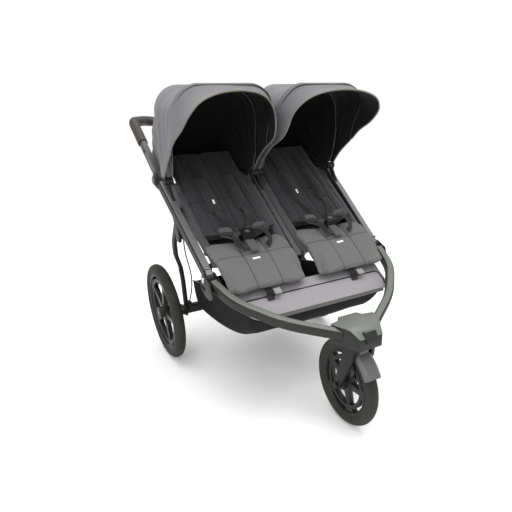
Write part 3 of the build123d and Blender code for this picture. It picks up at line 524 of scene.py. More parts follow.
label_cloth = woven("blank label cloth", (0.80, 0.80, 0.79), space="Object", sheen=0.0)
binding_cloth = woven("grey binding", (0.075, 0.077, 0.073), space="Object")
black_webbing = webbing("black webbing", (0.006, 0.006, 0.0065))
zip_tape = moulded("black zip tape", (0.010, 0.009, 0.010), 0.6)

tube_side = lacquered("dark frame lacquer", (0.013, 0.011, 0.011), 0.5, 0.1, specular=0.3)
hoop_lacquer = lacquered("hoop lacquer", (0.014, 0.015, 0.0125), 0.5, 0.1, specular=0.3)
satin_strip = lacquered("satin grey strip", (0.120, 0.122, 0.120), 0.42, 0.3)
# Painted highlight: the hoops' upward faces get this lighter satin finish to stand in for the overhead light
# they reflect.
hoop_top_painted_highlight = lacquered("hoop top painted highlight", (0.105, 0.112, 0.100), 0.45, 0.3)
handle_metal = lacquered("handle lacquer", (0.045, 0.040, 0.040), 0.42, 0.3)
bright_steel = lacquered("zinc steel", (0.45, 0.45, 0.44), 0.3, 1.0)
black_plastic = moulded("black plastic", (0.006, 0.006, 0.007), 0.5, specular=0.3)
nose_plastic = moulded("nose plastic", (0.012, 0.014, 0.012), 0.5, specular=0.3)
# Painted highlight: the nose's upward faces get this lighter plastic to stand in for the overhead light they
# reflect.
nose_top_painted_highlight = moulded("nose top painted highlight", (0.105, 0.112, 0.102), 0.45)
grey_plastic = moulded("grey plastic", (0.075, 0.076, 0.075), 0.40)
clip_plastic = moulded("pale clip plastic", (0.20, 0.20, 0.195), 0.45)
wheel_plastic = moulded("wheel plastic", (0.006, 0.006, 0.006), 0.45, specular=0.35)
tyre_rubber = rubber("tyre rubber", (0.014, 0.0135, 0.011), (0.030, 0.028, 0.024))
cable_sheath = moulded("cable sheath", (0.010, 0.010, 0.010), 0.5)
grip_cover = stitched_grip("brown grip cover", (0.030, 0.024, 0.021))


# ---------------------------------------------------------------- hard parts
def rounded_copy(node, body, material, slot, width=0.0012, angle=32, segments=2):
    """The CAD part again with its edges broken, as a moulding or a casting has them."""
    piece = bpy.data.objects.new(node + "_finished", frame["nodes"][node].data.copy())
    bpy.context.scene.collection.objects.link(piece)
    piece.data.materials.clear()
    piece.data.materials.append(material)
    edit(piece, (bpy.ops.mesh.remove_doubles, {"threshold": 0.00002}),
         (bpy.ops.mesh.dissolve_limited, {"angle_limit": radians(0.6)}))
    apply_modifier(piece, "BEVEL", width=width, segments=segments, limit_method="ANGLE",
                   angle_limit=radians(angle), use_clamp_overlap=True, harden_normals=False)
    smooth(piece, 38)
    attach(piece, body)
    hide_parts(node)
    return piece


def trim_and_highlight_by_facing(piece, material, direction, limit=0.75):
    """The faces that look along the direction get a second finish: a trim strip on the side tubes, and a
    painted highlight on the tops of the nose and the hoops.
    """
    piece.data.materials.append(material)
    for face in piece.data.polygons:
        if face.normal.dot(direction) > limit:
            face.material_index = len(piece.data.materials) - 1


def dress(node, material):
    """A CAD part that keeps its shape gets its finish."""
    mesh = frame["nodes"][node].data
    mesh.materials.clear()
    mesh.materials.append(material)


SIDES = (("left", -1), ("right", 1))

for node, body, material, slot, edge in (
        ("nose_housing", "chassis", nose_plastic, "grey_plastic", 0.0035),
        ("swivel_lock_button", "lock_button", nose_plastic, "grey_plastic", 0.002),
        ("front_fork", "fork", black_plastic, "black_plastic", 0.003),
        ("mudguard", "fork", grey_plastic, "grey_plastic", 0.001),
        ("fold_gussets", "chassis", black_plastic, "black_plastic", 0.0006),
        ("fold_knuckles", "upper_frame", black_plastic, "black_plastic", 0.001),
        ("pivot_housings", "upper_frame", black_plastic, "black_plastic", 0.0012),
        ("leg_brackets", "upper_frame", black_plastic, "black_plastic", 0.0012),
        ("axle_beam", "rear_frame", tube_side, "graphite_frame", 0.0012),
        ("suspension_blocks", "rear_frame", black_plastic, "black_plastic", 0.0015),
        ("swing_arm_left", "arm_left", black_plastic, "black_plastic", 0.0015),
        ("swing_arm_right", "arm_right", black_plastic, "black_plastic", 0.0015),
        ("front_rim", "front_wheel", wheel_plastic, "wheel_plastic", 0.0012),
        ("rear_rim_left", "wheel_left", wheel_plastic, "wheel_plastic", 0.0014),
        ("rear_rim_right", "wheel_right", wheel_plastic, "wheel_plastic", 0.0014),
        ("brake_pedal", "pedal", black_plastic, "black_plastic", 0.0015),
        ("tilt_button_left", "tilt_left", grey_plastic, "grey_plastic", 0.0015),
        ("tilt_button_right", "tilt_right", grey_plastic, "grey_plastic", 0.0015),
        ("brake_twist_grip", "twist_grip", black_plastic, "grip_foam", 0.003)):
    finished = rounded_copy(node, body, material, slot, edge)
    # Painted highlight: the nose's top faces are coloured lighter than its sides.
    if material is nose_plastic:
        trim_and_highlight_by_facing(finished, nose_top_painted_highlight, Vector((0, 0, 1)), 0.80)

for node, material in (
        ("hoop_left_tube", hoop_lacquer), ("hoop_right_tube", hoop_lacquer), ("hinge_pins", bright_steel),
        ("front_axle", black_plastic), ("upper_tube_left", tube_side), ("upper_tube_right", tube_side),
        ("cross_tubes", tube_side), ("centre_rail", tube_side), ("canopy_pivots", black_plastic),
        ("rear_leg_left", tube_side), ("rear_leg_right", tube_side), ("rear_axle_left", bright_steel),
        ("rear_axle_right", bright_steel), ("brake_cables", cable_sheath), ("handlebar", handle_metal),
        ("handle_grips", grip_cover), ("harness_buckles", black_plastic),
        ("buckle_button_left", grey_plastic), ("buckle_button_right", grey_plastic),
        ("release_button_left", grey_plastic), ("release_button_right", grey_plastic)):
    dress(node, material)
# Painted highlight: the hoops' top faces are coloured lighter than their sides.
for node in ("hoop_left_tube", "hoop_right_tube"):
    trim_and_highlight_by_facing(frame["nodes"][node], hoop_top_painted_highlight, Vector((0, 0, 1)), 0.80)
for node in ("upper_tube_left", "upper_tube_right"):
    trim_and_highlight_by_facing(frame["nodes"][node], satin_strip, tube_up, 0.85)


# ---------------------------------------------------------------- tyres
def tyre(name, node, body, centre):
    """A pneumatic tyre with a ribbed, lightly blocked tread and a bead line on each wall."""
    low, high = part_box(node)
    middle_x = (low.x + high.x) / 2
    radius = (high.z - low.z) / 2
    half = (high.x - low.x) / 2
    seat = radius - 0.040
    blocks = round(2 * pi * radius / 0.013)

    def tread(turn, x):
        """Depth of the grooves: two ribs round the crown and slanting cuts at the shoulders."""
        rib = 0.0009 * (bump(abs(x) - 0.0045, 0.0011))
        cut = abs(((turn * blocks / (2 * pi) + (0.35 if x > 0 else 0.85) + abs(x) * 18) % 1) - 0.5)
        shoulder = ease((abs(x) - 0.007) / 0.002) * (1 - ease((abs(x) - 0.0175) / 0.002))
        return rib + 0.0011 * shoulder * bump(cut, 0.10)

    def shape(u, v):
        turn = v * 2 * pi
        if u < 0.12 or u > 0.88:
            k = u / 0.12 if u < 0.12 else (1 - u) / 0.12
            x = (-1 if u < 0.5 else 1) * (0.0148 + (half - 0.0148) * ease(k) ** 0.8)
            reach = seat + (radius - half - seat) * k + 0.0008 * bump(k - 0.35, 0.12)
        else:
            swing = (u - 0.12) / 0.76 * pi
            x = -half * cos(swing)
            reach = radius - half + half * sin(swing)
            reach -= tread(turn, x) * max(sin(swing), 0)
        return Vector((middle_x + x, centre.y + reach * cos(turn), centre.z + reach * sin(turn)))

    piece = grid(name, 46, blocks * 6, shape)
    edit(piece, (bpy.ops.mesh.remove_doubles, {"threshold": 0.00005}))
    face_out(piece, centre + Vector((middle_x, 0, 0)))
    piece.data.materials.append(tyre_rubber)
    smooth(piece, 45)
    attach(piece, body)
    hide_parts(node)


tyre("front_tyre_treaded", "front_tyre", "front_wheel", front_axle)
for side, sign in SIDES:
    tyre(f"rear_tyre_{side}_treaded", f"rear_tyre_{side}", f"wheel_{side}",
         Vector((0, rear_axle.y, rear_axle.z)))


# ---------------------------------------------------------------- canopies
rear_low, rear_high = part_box("canopy_rear_left")
front_low, front_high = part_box("canopy_front_left")
visor_low, visor_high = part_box("visor_left")
corner = 0.088
top_rear = rear_high.z - hood_pivot.z
top_front = front_high.z - hood_pivot.z
eye = 0.016
flare_turn = radians(22)
front_turn = radians(104)  # the rear section reaches this far, under the front one


def arch(u, x0, x1, top, start, round_corner=corner):
    """Across the hood: u runs up the outer side, over the shoulders and down the inner side."""
    side = top - round_corner - start
    bend = round_corner * pi / 2
    flat = (x1 - x0) - 2 * round_corner
    walk = u * (2 * side + 2 * bend + flat)
    if walk < side:
        return x0, start + walk
    walk -= side
    if walk < bend:
        turn = walk / round_corner
        return x0 + round_corner * (1 - cos(turn)), top - round_corner * (1 - sin(turn))
    walk -= bend
    if walk < flat:
        return x0 + round_corner + walk, top
    walk -= flat
    if walk < bend:
        turn = walk / round_corner
        return x1 - round_corner * (1 - sin(turn)), top - round_corner * (1 - cos(turn))
    walk -= bend
    return x1, top - round_corner - walk


def tug(point, centre, amount, seed):
    """Slack cloth: creases that run to the pivot, and slow hollows between them."""
    away = point - centre
    reach = away.length
    turn = Vector((0, away.y, away.z)).angle(Vector((0, 0, 1)), 0.0) * (1 if away.y > 0 else -1)
    fan = noise.noise(Vector((turn * 6.5, point.x * 3.0, seed))) * ease(reach / 0.12)
    fine = noise.noise(Vector((turn * 17, point.x * 5.0, seed + 4))) * ease(reach / 0.2)
    slow = noise.noise(point * 9 + Vector((seed, 0, 0)))
    return amount * (0.9 * fan + 0.35 * fine + 0.6 * slow)


def rear_hood(side, sign):
    """Rear section: a turned arch with a straight flap hanging behind."""
    x0, x1 = rear_low.x, rear_high.x

    def shape(u, v):
        x, reach = arch(u, x0, x1, top_rear, eye)
        squeeze = ease((u - 0.02) / 0.05) * ease((0.98 - u) / 0.05)
        if v < 0.62:
            first = front_turn + radians(24) * (1 - ease(reach / 0.24))
            turn = first + (flare_turn - first) * v / 0.62
            spot = Vector((x, hood_pivot.y + reach * cos(turn), hood_pivot.z + reach * sin(turn)))
            out = Vector((0, cos(turn), sin(turn)))
        else:
            base = Vector((x, hood_pivot.y + reach * cos(flare_turn), hood_pivot.z + reach * sin(flare_turn)))
            hem = hood_pivot.z - 0.008
            drop = (base.z - hem + 0.0912 * (base.y - hood_pivot.y + 0.020)) / 0.893
            spot = base + Vector((0, sin(flare_turn), -cos(flare_turn))) * max(drop, 0) * (v - 0.62) / 0.38
            out = Vector((0, cos(flare_turn), sin(flare_turn)))
        high_up = ease(abs(reach - eye) / (top_rear - eye) - 0.6)
        flat_out = Vector((-1 if u < 0.5 else 1, 0, 0)) * (1 - high_up)
        push = (out * ease((reach - 0.2) / 0.1) + flat_out * 0.8).normalized() if reach > 0.05 else out
        between_bows = 0.007 * sin(pi * min(v / 0.62, 1)) ** 2 * ease((reach - 0.2) / 0.08)
        spot -= out * between_bows
        spot += push * tug(spot, Vector((x, hood_pivot.y, hood_pivot.z)), 0.0055, 1.0 + sign) * squeeze
        return Vector((spot.x if sign < 0 else -spot.x, spot.y, spot.z))

    middle = Vector((sign * seat_x, hood_pivot.y, hood_pivot.z + 0.08))
    piece = cloth_sheet(f"canopy_rear_cloth_{side}", 110, 90, shape, middle, 0.0016, canopy_cloth,
                        painted_shade_lining)
    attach(piece, "upper_frame")
    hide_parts(f"canopy_rear_{side}")
    return shape


def seam_line(x0, x1, top, u, sway=0.0):
    """The line where the visor is sewn to the front section: from the notch up over the top."""
    x, reach = arch(u, x0, x1, top, visor_pivot.z - hood_pivot.z)
    share = (reach - (visor_pivot.z - hood_pivot.z)) / (top - (visor_pivot.z - hood_pivot.z))
    y = visor_pivot.y + (-0.080) * ease(share) + sway
    return Vector((x, y, hood_pivot.z + reach))


def front_hood(side, sign):
    """Front section: a straight arch from over the rear section to the visor's seam."""
    x0, x1 = front_low.x, front_high.x
    foot = 0.012
    rear_edge = hood_pivot.y + 0.010
    notch = visor_pivot.z - hood_pivot.z

    def shape(u, v):
        x, reach = arch(u, x0, x1, top_front, foot)
        back = Vector((x, rear_edge + 0.020 * (1 - ease(reach / 0.2)), hood_pivot.z + reach))
        if reach < notch:
            to_notch = visor_pivot.y - hood_pivot.y + 0.006
            edge_y = hood_pivot.y - 0.006 + to_notch * (reach - foot) / (notch - foot)
            edge_y += 0.010 * sin(pi * (reach - foot) / (notch - foot))
        else:
            share = (reach - notch) / (top_front - notch)
            edge_y = visor_pivot.y - 0.080 * ease(share)
        spot = Vector((x, back.y + (edge_y - back.y) * v, back.z))
        sag = 0.010 * sin(pi * v) * ease((reach - 0.2) / 0.08)
        flat = abs(x - (x0 + x1) / 2) > (x1 - x0) / 2 - 0.003
        push = Vector((-1 if u < 0.5 else 1, 0, 0)) if flat else Vector((0, 0, 1))
        hem = ease(v / 0.08) * ease((1 - v) / 0.12)
        spot.z -= sag
        spot += push * (tug(spot, Vector((x, hood_pivot.y, hood_pivot.z)), 0.0045, 7.0 + sign) - 0.001) * hem
        return Vector((spot.x if sign < 0 else -spot.x, spot.y, spot.z))

    middle = Vector((sign * seat_x, hood_pivot.y - 0.1, hood_pivot.z + 0.05))
    piece = cloth_sheet(f"canopy_front_cloth_{side}", 120, 44, shape, middle, 0.0016, canopy_cloth,
                        painted_shade_lining)
    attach(piece, f"hood_{side}")
    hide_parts(f"canopy_front_{side}")
    steps = 40
    ends = []
    for end in (0, 1):
        edge = [shape((k / steps) * 0.19 if end == 0 else 1 - (k / steps) * 0.19, 1.0)
                for k in range(steps + 1)]
        keep = [p for p in edge if p.z < visor_pivot.z + 0.004]
        ends.append(cord_mesh(f"canopy_piping_{side}_{'outer' if end == 0 else 'inner'}", keep, 0.0022,
                              piping_cord))
    for trim in ends:
        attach(trim, f"hood_{side}")
    return shape


visor_edge = curve_through([
    at(-0.3555, -0.300, 0.866), at(-0.353, -0.350, 0.902), at(-0.350, -0.420, 0.937),
    at(-0.342, -0.470, 0.975), at(-0.318, -0.492, 1.008), at(-0.282, -0.496, 1.027),
    at(-0.235, -0.492, 1.038), at(-0.178, -0.484, 1.041), at(-0.120, -0.468, 1.034),
    at(-0.078, -0.446, 1.018), at(-0.048, -0.424, 0.992), at(-0.031, -0.406, 0.962),
    at(-0.023, -0.390, 0.925), at(-0.017, -0.362, 0.893), at(-0.011, -0.300, 0.862)])


def visor(side, sign):
    """Flip-out sun visor: from its seam forwards to a piped, springy edge."""
    x0, x1 = visor_low.x + 0.001, visor_high.x - 0.001
    top = top_front + 0.0034

    def shape(u, v):
        seam = seam_line(x0, x1, top, u, 0.014)  # the sections lap by this much
        edge = visor_edge(u)
        spot = seam.lerp(edge, v)
        shoulder = ease((seam.z - visor_pivot.z) / 0.1)
        spot.z -= 0.012 * sin(pi * v) * ease((seam.z - hood_pivot.z - 0.2) / 0.09)
        spot.x += (-1 if u < 0.5 else 1) * 0.003 * sin(pi * v) * (1 - shoulder)
        flat = abs(seam.x - (x0 + x1) / 2) > (x1 - x0) / 2 - 0.003
        push = Vector((-1 if u < 0.5 else 1, 0, 0)) if flat else Vector((0, 0, 1))
        spot += push * 0.0035 * ripple(spot, 0.07, 11.0 + sign) * sin(pi * v)
        return Vector((spot.x if sign < 0 else -spot.x, spot.y, spot.z))

    middle = Vector((sign * seat_x, visor_pivot.y - 0.08, visor_pivot.z + 0.02))
    piece = cloth_sheet(f"visor_cloth_{side}", 110, 24, shape, middle, 0.0018, canopy_cloth, painted_shade_lining)
    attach(piece, f"visor_{side}_body")
    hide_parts(f"visor_{side}")
    rim = [shape(k / 120, 1.0) for k in range(121)]
    trim = cord_mesh(f"visor_piping_{side}", rim, 0.0024, piping_cord)
    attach(trim, f"visor_{side}_body")


for side, sign in SIDES:
    rear_hood(side, sign)
    front_hood(side, sign)
    visor(side, sign)


# ---------------------------------------------------------------- seats
seat_seam_y = -0.488
seat_seams_x = 0.0446
pad_half = 0.147


def seat_pad(side, sign):
    """Quilted seat pad that rolls over the front edge, blown up and then sewn through."""
    middle = sign * seat_x
    top = [at(0, -0.388, 0.574), at(0, -0.440, 0.564), at(0, -0.488, 0.546), at(0, -0.535, 0.518),
           at(0, -0.570, 0.492), at(0, -0.603, 0.466)]
    low = [at(0, -0.388, 0.540), at(0, -0.440, 0.531), at(0, -0.488, 0.516), at(0, -0.530, 0.497),
           at(0, -0.560, 0.478), at(0, -0.592, 0.457)]
    pad = block_between(f"seat_pad_{side}_quilted", top, low, middle - pad_half, middle + pad_half, 30)
    for spot in pad.data.vertices:
        forward = ease((at(0, -0.52, 0).y - spot.co.y) / 0.085)
        across = (spot.co.x - middle) / pad_half
        spot.co.x = middle + across * (pad_half - 0.003 * forward * abs(across))
        spot.co.y += 0.020 * forward * ease((abs(across) - 0.72) / 0.28)
        spot.co.z -= 0.003 * forward * ease((abs(across) - 0.72) / 0.28)
    puff(pad, 0.005, 4.0, 0.008)

    def cross_seam(spot):
        return spot.y - at(0, seat_seam_y, 0).y, spot.x

    def long_seam(offset):
        return lambda spot: (spot.x - middle - offset, spot.y)

    def upper_only(seam):
        def on_top(spot):
            slope = (at(0, -0.46, 0).y - spot.y) * 0.62
            return seam(spot) if spot.z > at(0, 0, 0.532).z - slope else (None, None)
        return on_top

    over = [cross_seam, long_seam(-seat_seams_x), long_seam(seat_seams_x)]
    sew(pad, [upper_only(seam) for seam in over])
    facing = [spot.normal.copy() for spot in pad.data.vertices]
    for spot, normal in zip(pad.data.vertices, facing):
        rim = ease((abs(spot.co.x - middle) - 0.110) / 0.03)
        dent = 0.0012 * rim * (0.5 + ripple(spot.co, 0.016, 5.0)) + 0.0010 * ripple(spot.co, 0.05, 2.0)
        spot.co -= normal * dent
    pad.data.materials.append(seat_cloth)
    smooth(pad, 80)
    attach(pad, "upper_frame")
    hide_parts(f"seat_pad_{side}")
    return pad


def tag(name, host, centre, width, height, heading, body, material=label_cloth):
    """A small blank sewn tag that follows the surface under it."""
    across = Vector(heading).normalized()
    _, spot, normal, _ = host.closest_point_on_mesh(centre)
    along = normal.cross(across).normalized()

    def shape(u, v):
        guess = spot + across * (u - 0.5) * width + along * (v - 0.5) * height
        _, near, _, _ = host.closest_point_on_mesh(guess)
        return near + normal * 0.0009

    piece = grid(name, 10, 4, shape)
    piece.data.materials.append(material)
    face_out(piece, spot - normal * 0.1)
    apply_modifier(piece, "SOLIDIFY", thickness=0.0006, offset=1)
    smooth(piece, 50)
    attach(piece, body)
    return piece


def on_back(distance, lift):
    """A place on the backrest, in side view: distance up from its hinge, lift forward of its back face."""
    lean = radians(32.6)
    return Vector((0, back_pivot.y + distance * cos(lean) - lift * sin(lean),
                   back_pivot.z + distance * sin(lean) + lift * cos(lean)))


def backrest(side, sign):
    middle = sign * seat_x
    top = [on_back(d, 0.034) for d in (0.036, 0.12, 0.25, 0.38, 0.466)]
    low = [on_back(d, 0.006) for d in (0.036, 0.12, 0.25, 0.38, 0.466)]
    pad = block_between(f"backrest_{side}_padded", top, low, middle - 0.132, middle + 0.132, 26)
    puff(pad, 0.006, 3.0, 0.006)
    facing = on_back(1, 0) - on_back(0, 0)
    front = on_back(0, 1) - on_back(0, 0)

    def long_seam(offset):
        return lambda spot: ((spot.x - middle - offset, spot.dot(facing))
                             if (spot - on_back(0, 0.02)).dot(front) > 0 else (None, None))

    def cross_seam(distance):
        return lambda spot: (((spot - on_back(0, 0)).dot(facing) - distance, spot.x)
                             if (spot - on_back(0, 0.02)).dot(front) > 0 else (None, None))

    sew(pad, [long_seam(-0.086), long_seam(0.086), long_seam(0.0), cross_seam(0.20)], depth=0.003)
    # Painted shade: the backrest gets the darkened cloth.
    pad.data.materials.append(backrest_painted_shade_cloth)
    smooth(pad, 80)
    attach(pad, f"back_{side}")
    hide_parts(f"backrest_{side}")
    return pad


def shoulder_pads(side, sign):
    """Two long padded sleeves on the harness, each with four ribs; the first one has a blank tag."""
    for number, offset in enumerate((-0.052, 0.052)):
        middle = sign * seat_x + offset
        top = [on_back(d, 0.055 + 0.004 * bump(d - 0.2, 0.08)) for d in (0.128, 0.18, 0.24, 0.30)]
        low = [on_back(d, 0.042) for d in (0.128, 0.18, 0.24, 0.30)]
        pad = block_between(f"shoulder_pad_{side}_{number + 1}", top, low, middle - 0.021, middle + 0.021, 12)
        puff(pad, 0.004, 3.0, 0.004)
        facing = on_back(1, 0) - on_back(0, 0)

        def rib(distance):
            return lambda spot: ((spot - on_back(0, 0)).dot(facing) - distance, spot.x)

        sew(pad, [rib(0.235), rib(0.252), rib(0.269), rib(0.286)], depth=0.0018, width=0.0028)
        pad.data.materials.append(shoulder_cloth)
        smooth(pad, 80)
        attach(pad, f"back_{side}")
        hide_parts(f"shoulder_pads_{side}")
        if number == 0:
            spot = on_back(0.168, 0.062)
            spot.x = middle
            tag(f"shoulder_tag_{side}", pad, spot, 0.007, 0.019, (1, 0, 0), f"back_{side}")


def harness(side, sign):
    """Waist and crotch pads, the buckle's webbing and the loose loops beside it."""
    middle = sign * seat_x
    waist_places = ((-1, at(middle - 0.052, -0.402, 0.606), 0.34),
                    (1, at(middle + 0.058, -0.398, 0.607), -0.30))
    for number, (hand, spot, turn) in enumerate(waist_places):
        bpy.ops.mesh.primitive_cube_add(size=2)
        pad = bpy.context.object
        pad.name = f"waist_pad_{side}_{number + 1}"
        edit(pad, (bpy.ops.mesh.subdivide, {"number_cuts": 10}))
        tilt = Matrix.Rotation(turn, 4, "Y") @ Matrix.Rotation(radians(38), 4, "X")
        for p in pad.data.vertices:
            narrow = 1 - 0.25 * max(p.co.x * hand, 0)
            flat = Vector((p.co.x * 0.036, p.co.y * 0.024 * narrow, p.co.z * 0.006 - 0.006 * p.co.x ** 2))
            p.co = spot + tilt @ flat
        puff(pad, 0.004, 2.5, 0.0035)
        pad.data.materials.append(pad_cloth)
        smooth(pad, 80)
        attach(pad, "upper_frame")
        if number == 0:
            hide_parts("harness_pads")
    crotch_top = [at(0, -0.440, 0.592), at(0, -0.470, 0.578), at(0, -0.498, 0.562)]
    crotch_low = [at(0, -0.440, 0.583), at(0, -0.470, 0.570), at(0, -0.498, 0.556)]
    crotch = block_between(f"crotch_pad_{side}", crotch_top, crotch_low, middle - 0.019, middle + 0.019, 8)
    puff(crotch, 0.004, 2.5, 0.003)
    crotch.data.materials.append(pad_cloth)
    smooth(crotch, 80)
    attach(crotch, "upper_frame")

    loops = (
        ("lap_web_outer", [(-0.125, -0.372, 0.606), (-0.092, -0.404, 0.612), (-0.050, -0.428, 0.611),
                           (-0.016, -0.430, 0.610)], [(0, -0.3, 1)], 0.022),
        ("lap_web_inner", [(0.016, -0.430, 0.610), (0.052, -0.430, 0.614), (0.094, -0.402, 0.618),
                           (0.128, -0.368, 0.612)], [(0, -0.3, 1)], 0.022),
        ("loose_web_one", [(0.030, -0.420, 0.618), (0.055, -0.446, 0.616), (0.066, -0.470, 0.588),
                           (0.050, -0.480, 0.568)], [(0, -0.2, 1), (0.3, -1, 0.3), (0, -1, 0.2)], 0.020),
        ("loose_web_two", [(-0.030, -0.424, 0.612), (-0.052, -0.452, 0.604), (-0.044, -0.476, 0.580),
                           (-0.018, -0.478, 0.574)], [(0, -0.2, 1), (-0.4, -0.8, 0.4), (0, -0.5, 1)], 0.020))
    for name, points, ups, width in loops:
        strap = ribbon(f"{name}_{side}", [at(middle + x, y, z) for x, y, z in points], ups, width, 0.0016,
                       black_webbing, 36)
        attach(strap, "upper_frame")
    for offset in (-0.052, 0.052):
        hang = on_back(0.140, 0.050)
        mid = on_back(0.085, 0.062)
        points = [Vector((middle + offset, hang.y, hang.z)), Vector((middle + offset * 0.9, mid.y, mid.z)),
                  at(middle + offset * 0.5, -0.395, 0.618), at(middle + offset * 0.3, -0.420, 0.613)]
        strap = ribbon(f"shoulder_web_{side}_{'a' if offset < 0 else 'b'}", points,
                       [(0, -0.54, 0.84), (0, -0.3, 1)], 0.021, 0.0016, black_webbing, 30)
        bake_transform(strap)
    for name, offset in (("shoulder_web_upper", -0.052), ("shoulder_web_upper_far", 0.052)):
        places = [Vector((middle + offset, *on_back(distance, lift).yz))
                  for distance, lift in ((0.300, 0.046), (0.345, 0.048), (0.385, 0.046))]
        strap = ribbon(f"{name}_{side}", places, [(0, -0.54, 0.84)], 0.021, 0.0016, black_webbing,
                       12)
        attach(strap, f"back_{side}")


def side_wing(side, sign, name, x_top, x_low, reach):
    """A fabric wall from a tube down to the seat's edge, with a soft fold along it."""
    top = curve_through([on_tube(x_top, d, lift) for d, lift in reach])
    low = curve_through([at(x_low, -0.545, 0.505), at(x_low, -0.480, 0.545), at(x_low, -0.400, 0.566),
                         at(x_low, -0.300, 0.622), at(x_low, -0.160, 0.712), at(x_low, -0.060, 0.775)])
    inward = 1 if x_low > x_top else -1

    def shape(u, v):
        a, b = top(v), low(v)
        spot = a.lerp(b, u)
        spot.z += 0.010 * sin(pi * u)
        spot.x += inward * 0.008 * sin(pi * u)
        spot += Vector((inward, 0, 0.6)) * 0.004 * ripple((v * 0.5, u * 0.1, sign), 0.05, 4.0) * sin(pi * u)
        spot += Vector((0, 0, 1)) * 0.003 * bump(u - 0.28, 0.06)
        return Vector((spot.x if sign < 0 else -spot.x, spot.y, spot.z))

    under = Vector((sign * -x_top, -0.1, -2.0))
    piece = cloth_sheet(f"{name}_{side}", 20, 80, shape, under, 0.0014, wing_cloth, painted_shade_lining)
    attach(piece, "upper_frame")


def trough(bottom, brim, half, centre_x, sag, round_corner):
    """shape(u, v) of a U-shaped cloth channel: bottom and brim are lines in side view."""
    floor_line = curve_through(bottom)

    def shape(u, v):
        low = floor_line(v)
        wall = max(brim(low.y) - low.z, 0.0)
        wide = half(low.y)
        bend = min(round_corner, wall * 0.6, wide * 0.6)
        path = 2 * (wall - bend) + pi * bend + 2 * (wide - bend)
        walk = u * path
        if walk < wall - bend:
            x, up = -wide, wall - walk
        elif walk < wall - bend + bend * pi / 2:
            turn = (walk - wall + bend) / max(bend, 1e-6)
            x, up = -wide + bend * (1 - cos(turn)), bend * (1 - sin(turn))
        elif walk < wall - bend + bend * pi / 2 + 2 * (wide - bend):
            x, up = -wide + bend + walk - (wall - bend + bend * pi / 2), 0.0
        elif walk < wall - bend + bend * pi + 2 * (wide - bend):
            turn = (walk - (wall - bend + bend * pi / 2 + 2 * (wide - bend))) / max(bend, 1e-6)
            x, up = wide - bend * (1 - sin(turn)), bend * (1 - cos(turn))
        else:
            x, up = wide, walk - path + wall
        hang = sag * (1 - (x / wide) ** 2) * sin(pi * min(max(v, 0), 1)) * (1 - ease(up / 0.05))
        crease = 0.0025 * ripple((x, low.y, up), 0.06, 6.0)
        side_push = crease if abs(x) > wide - 0.001 else 0.0
        return Vector((centre_x + x + side_push, low.y, low.z + up - hang + (crease if up < 0.001 else 0)))

    return shape


def seat_shell(side, sign):
    """The hanging fabric shell that the backrest lies in."""
    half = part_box("seat_tubs")[1].x - seat_x - 0.0006
    bottom = [at(0, -0.384, 0.531), at(0, -0.300, 0.558), at(0, -0.200, 0.596), at(0, -0.024, 0.666),
              at(0, 0.136, 0.691)]
    rim = [(-0.384, 0.569), (-0.231, 0.670), (-0.192, 0.736), (-0.148, 0.738), (0.138, 0.706)]

    def brim(y):
        y -= rear_axle.y
        for (y0, z0), (y1, z1) in zip(rim, rim[1:]):
            if y <= y1 or y1 == rim[-1][0]:
                return z0 + (z1 - z0) * min(max((y - y0) / (y1 - y0), 0), 1)
        return rim[-1][1]

    shape = trough(bottom, brim, lambda y: half, sign * seat_x, 0.0, 0.035)
    middle = Vector((sign * seat_x, rear_axle.y - 0.12, 0.9))
    piece = cloth_sheet(f"seat_shell_{side}", 60, 60, shape, middle, 0.0016, tub_cloth, wing_cloth)
    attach(piece, "upper_frame")
    if sign < 0:
        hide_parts("seat_tubs")


for side, sign in SIDES:
    pad = seat_pad(side, sign)
    tag(f"seat_tag_{side}", pad, at(sign * seat_x - 0.008, -0.512, 0.545), 0.027, 0.0075,
        (1, 0.02, 0), "upper_frame")
    backrest(side, sign)
    shoulder_pads(side, sign)
    harness(side, sign)
    side_wing(side, sign, "outer_wing", -0.3155, -0.290,
              [(0.030, 0.014), (0.130, 0.016), (0.260, 0.016), (0.370, 0.014)])
    side_wing(side, sign, "inner_wing", -0.0135, -0.048,
              [(0.030, 0.014), (0.130, 0.018), (0.260, 0.018), (0.370, 0.014)])
    seat_shell(side, sign)


# ---------------------------------------------------------------- footwell and basket
ramp_top = at(0, -0.548, 0.452)
ramp_bottom = at(0, -0.674, 0.393)
ramp_way = (ramp_bottom - ramp_top).normalized()
ramp_up = Vector((0, ramp_way.z, -ramp_way.y))
ramp_length = (ramp_bottom - ramp_top).length


def ramp_half(s):
    """Half width of the footwell panel, s metres down its slope."""
    wide = 0.290 - 0.006 * s / 0.06
    turn = min(max((s - (ramp_length - 0.060)) / 0.060, 0), 1)
    return wide - 0.062 * (1 - sqrt(1 - turn * turn))


def on_ramp(x, s, lift=0.0):
    spot = ramp_top + ramp_way * s + ramp_up * lift
    return Vector((x, spot.y, spot.z))


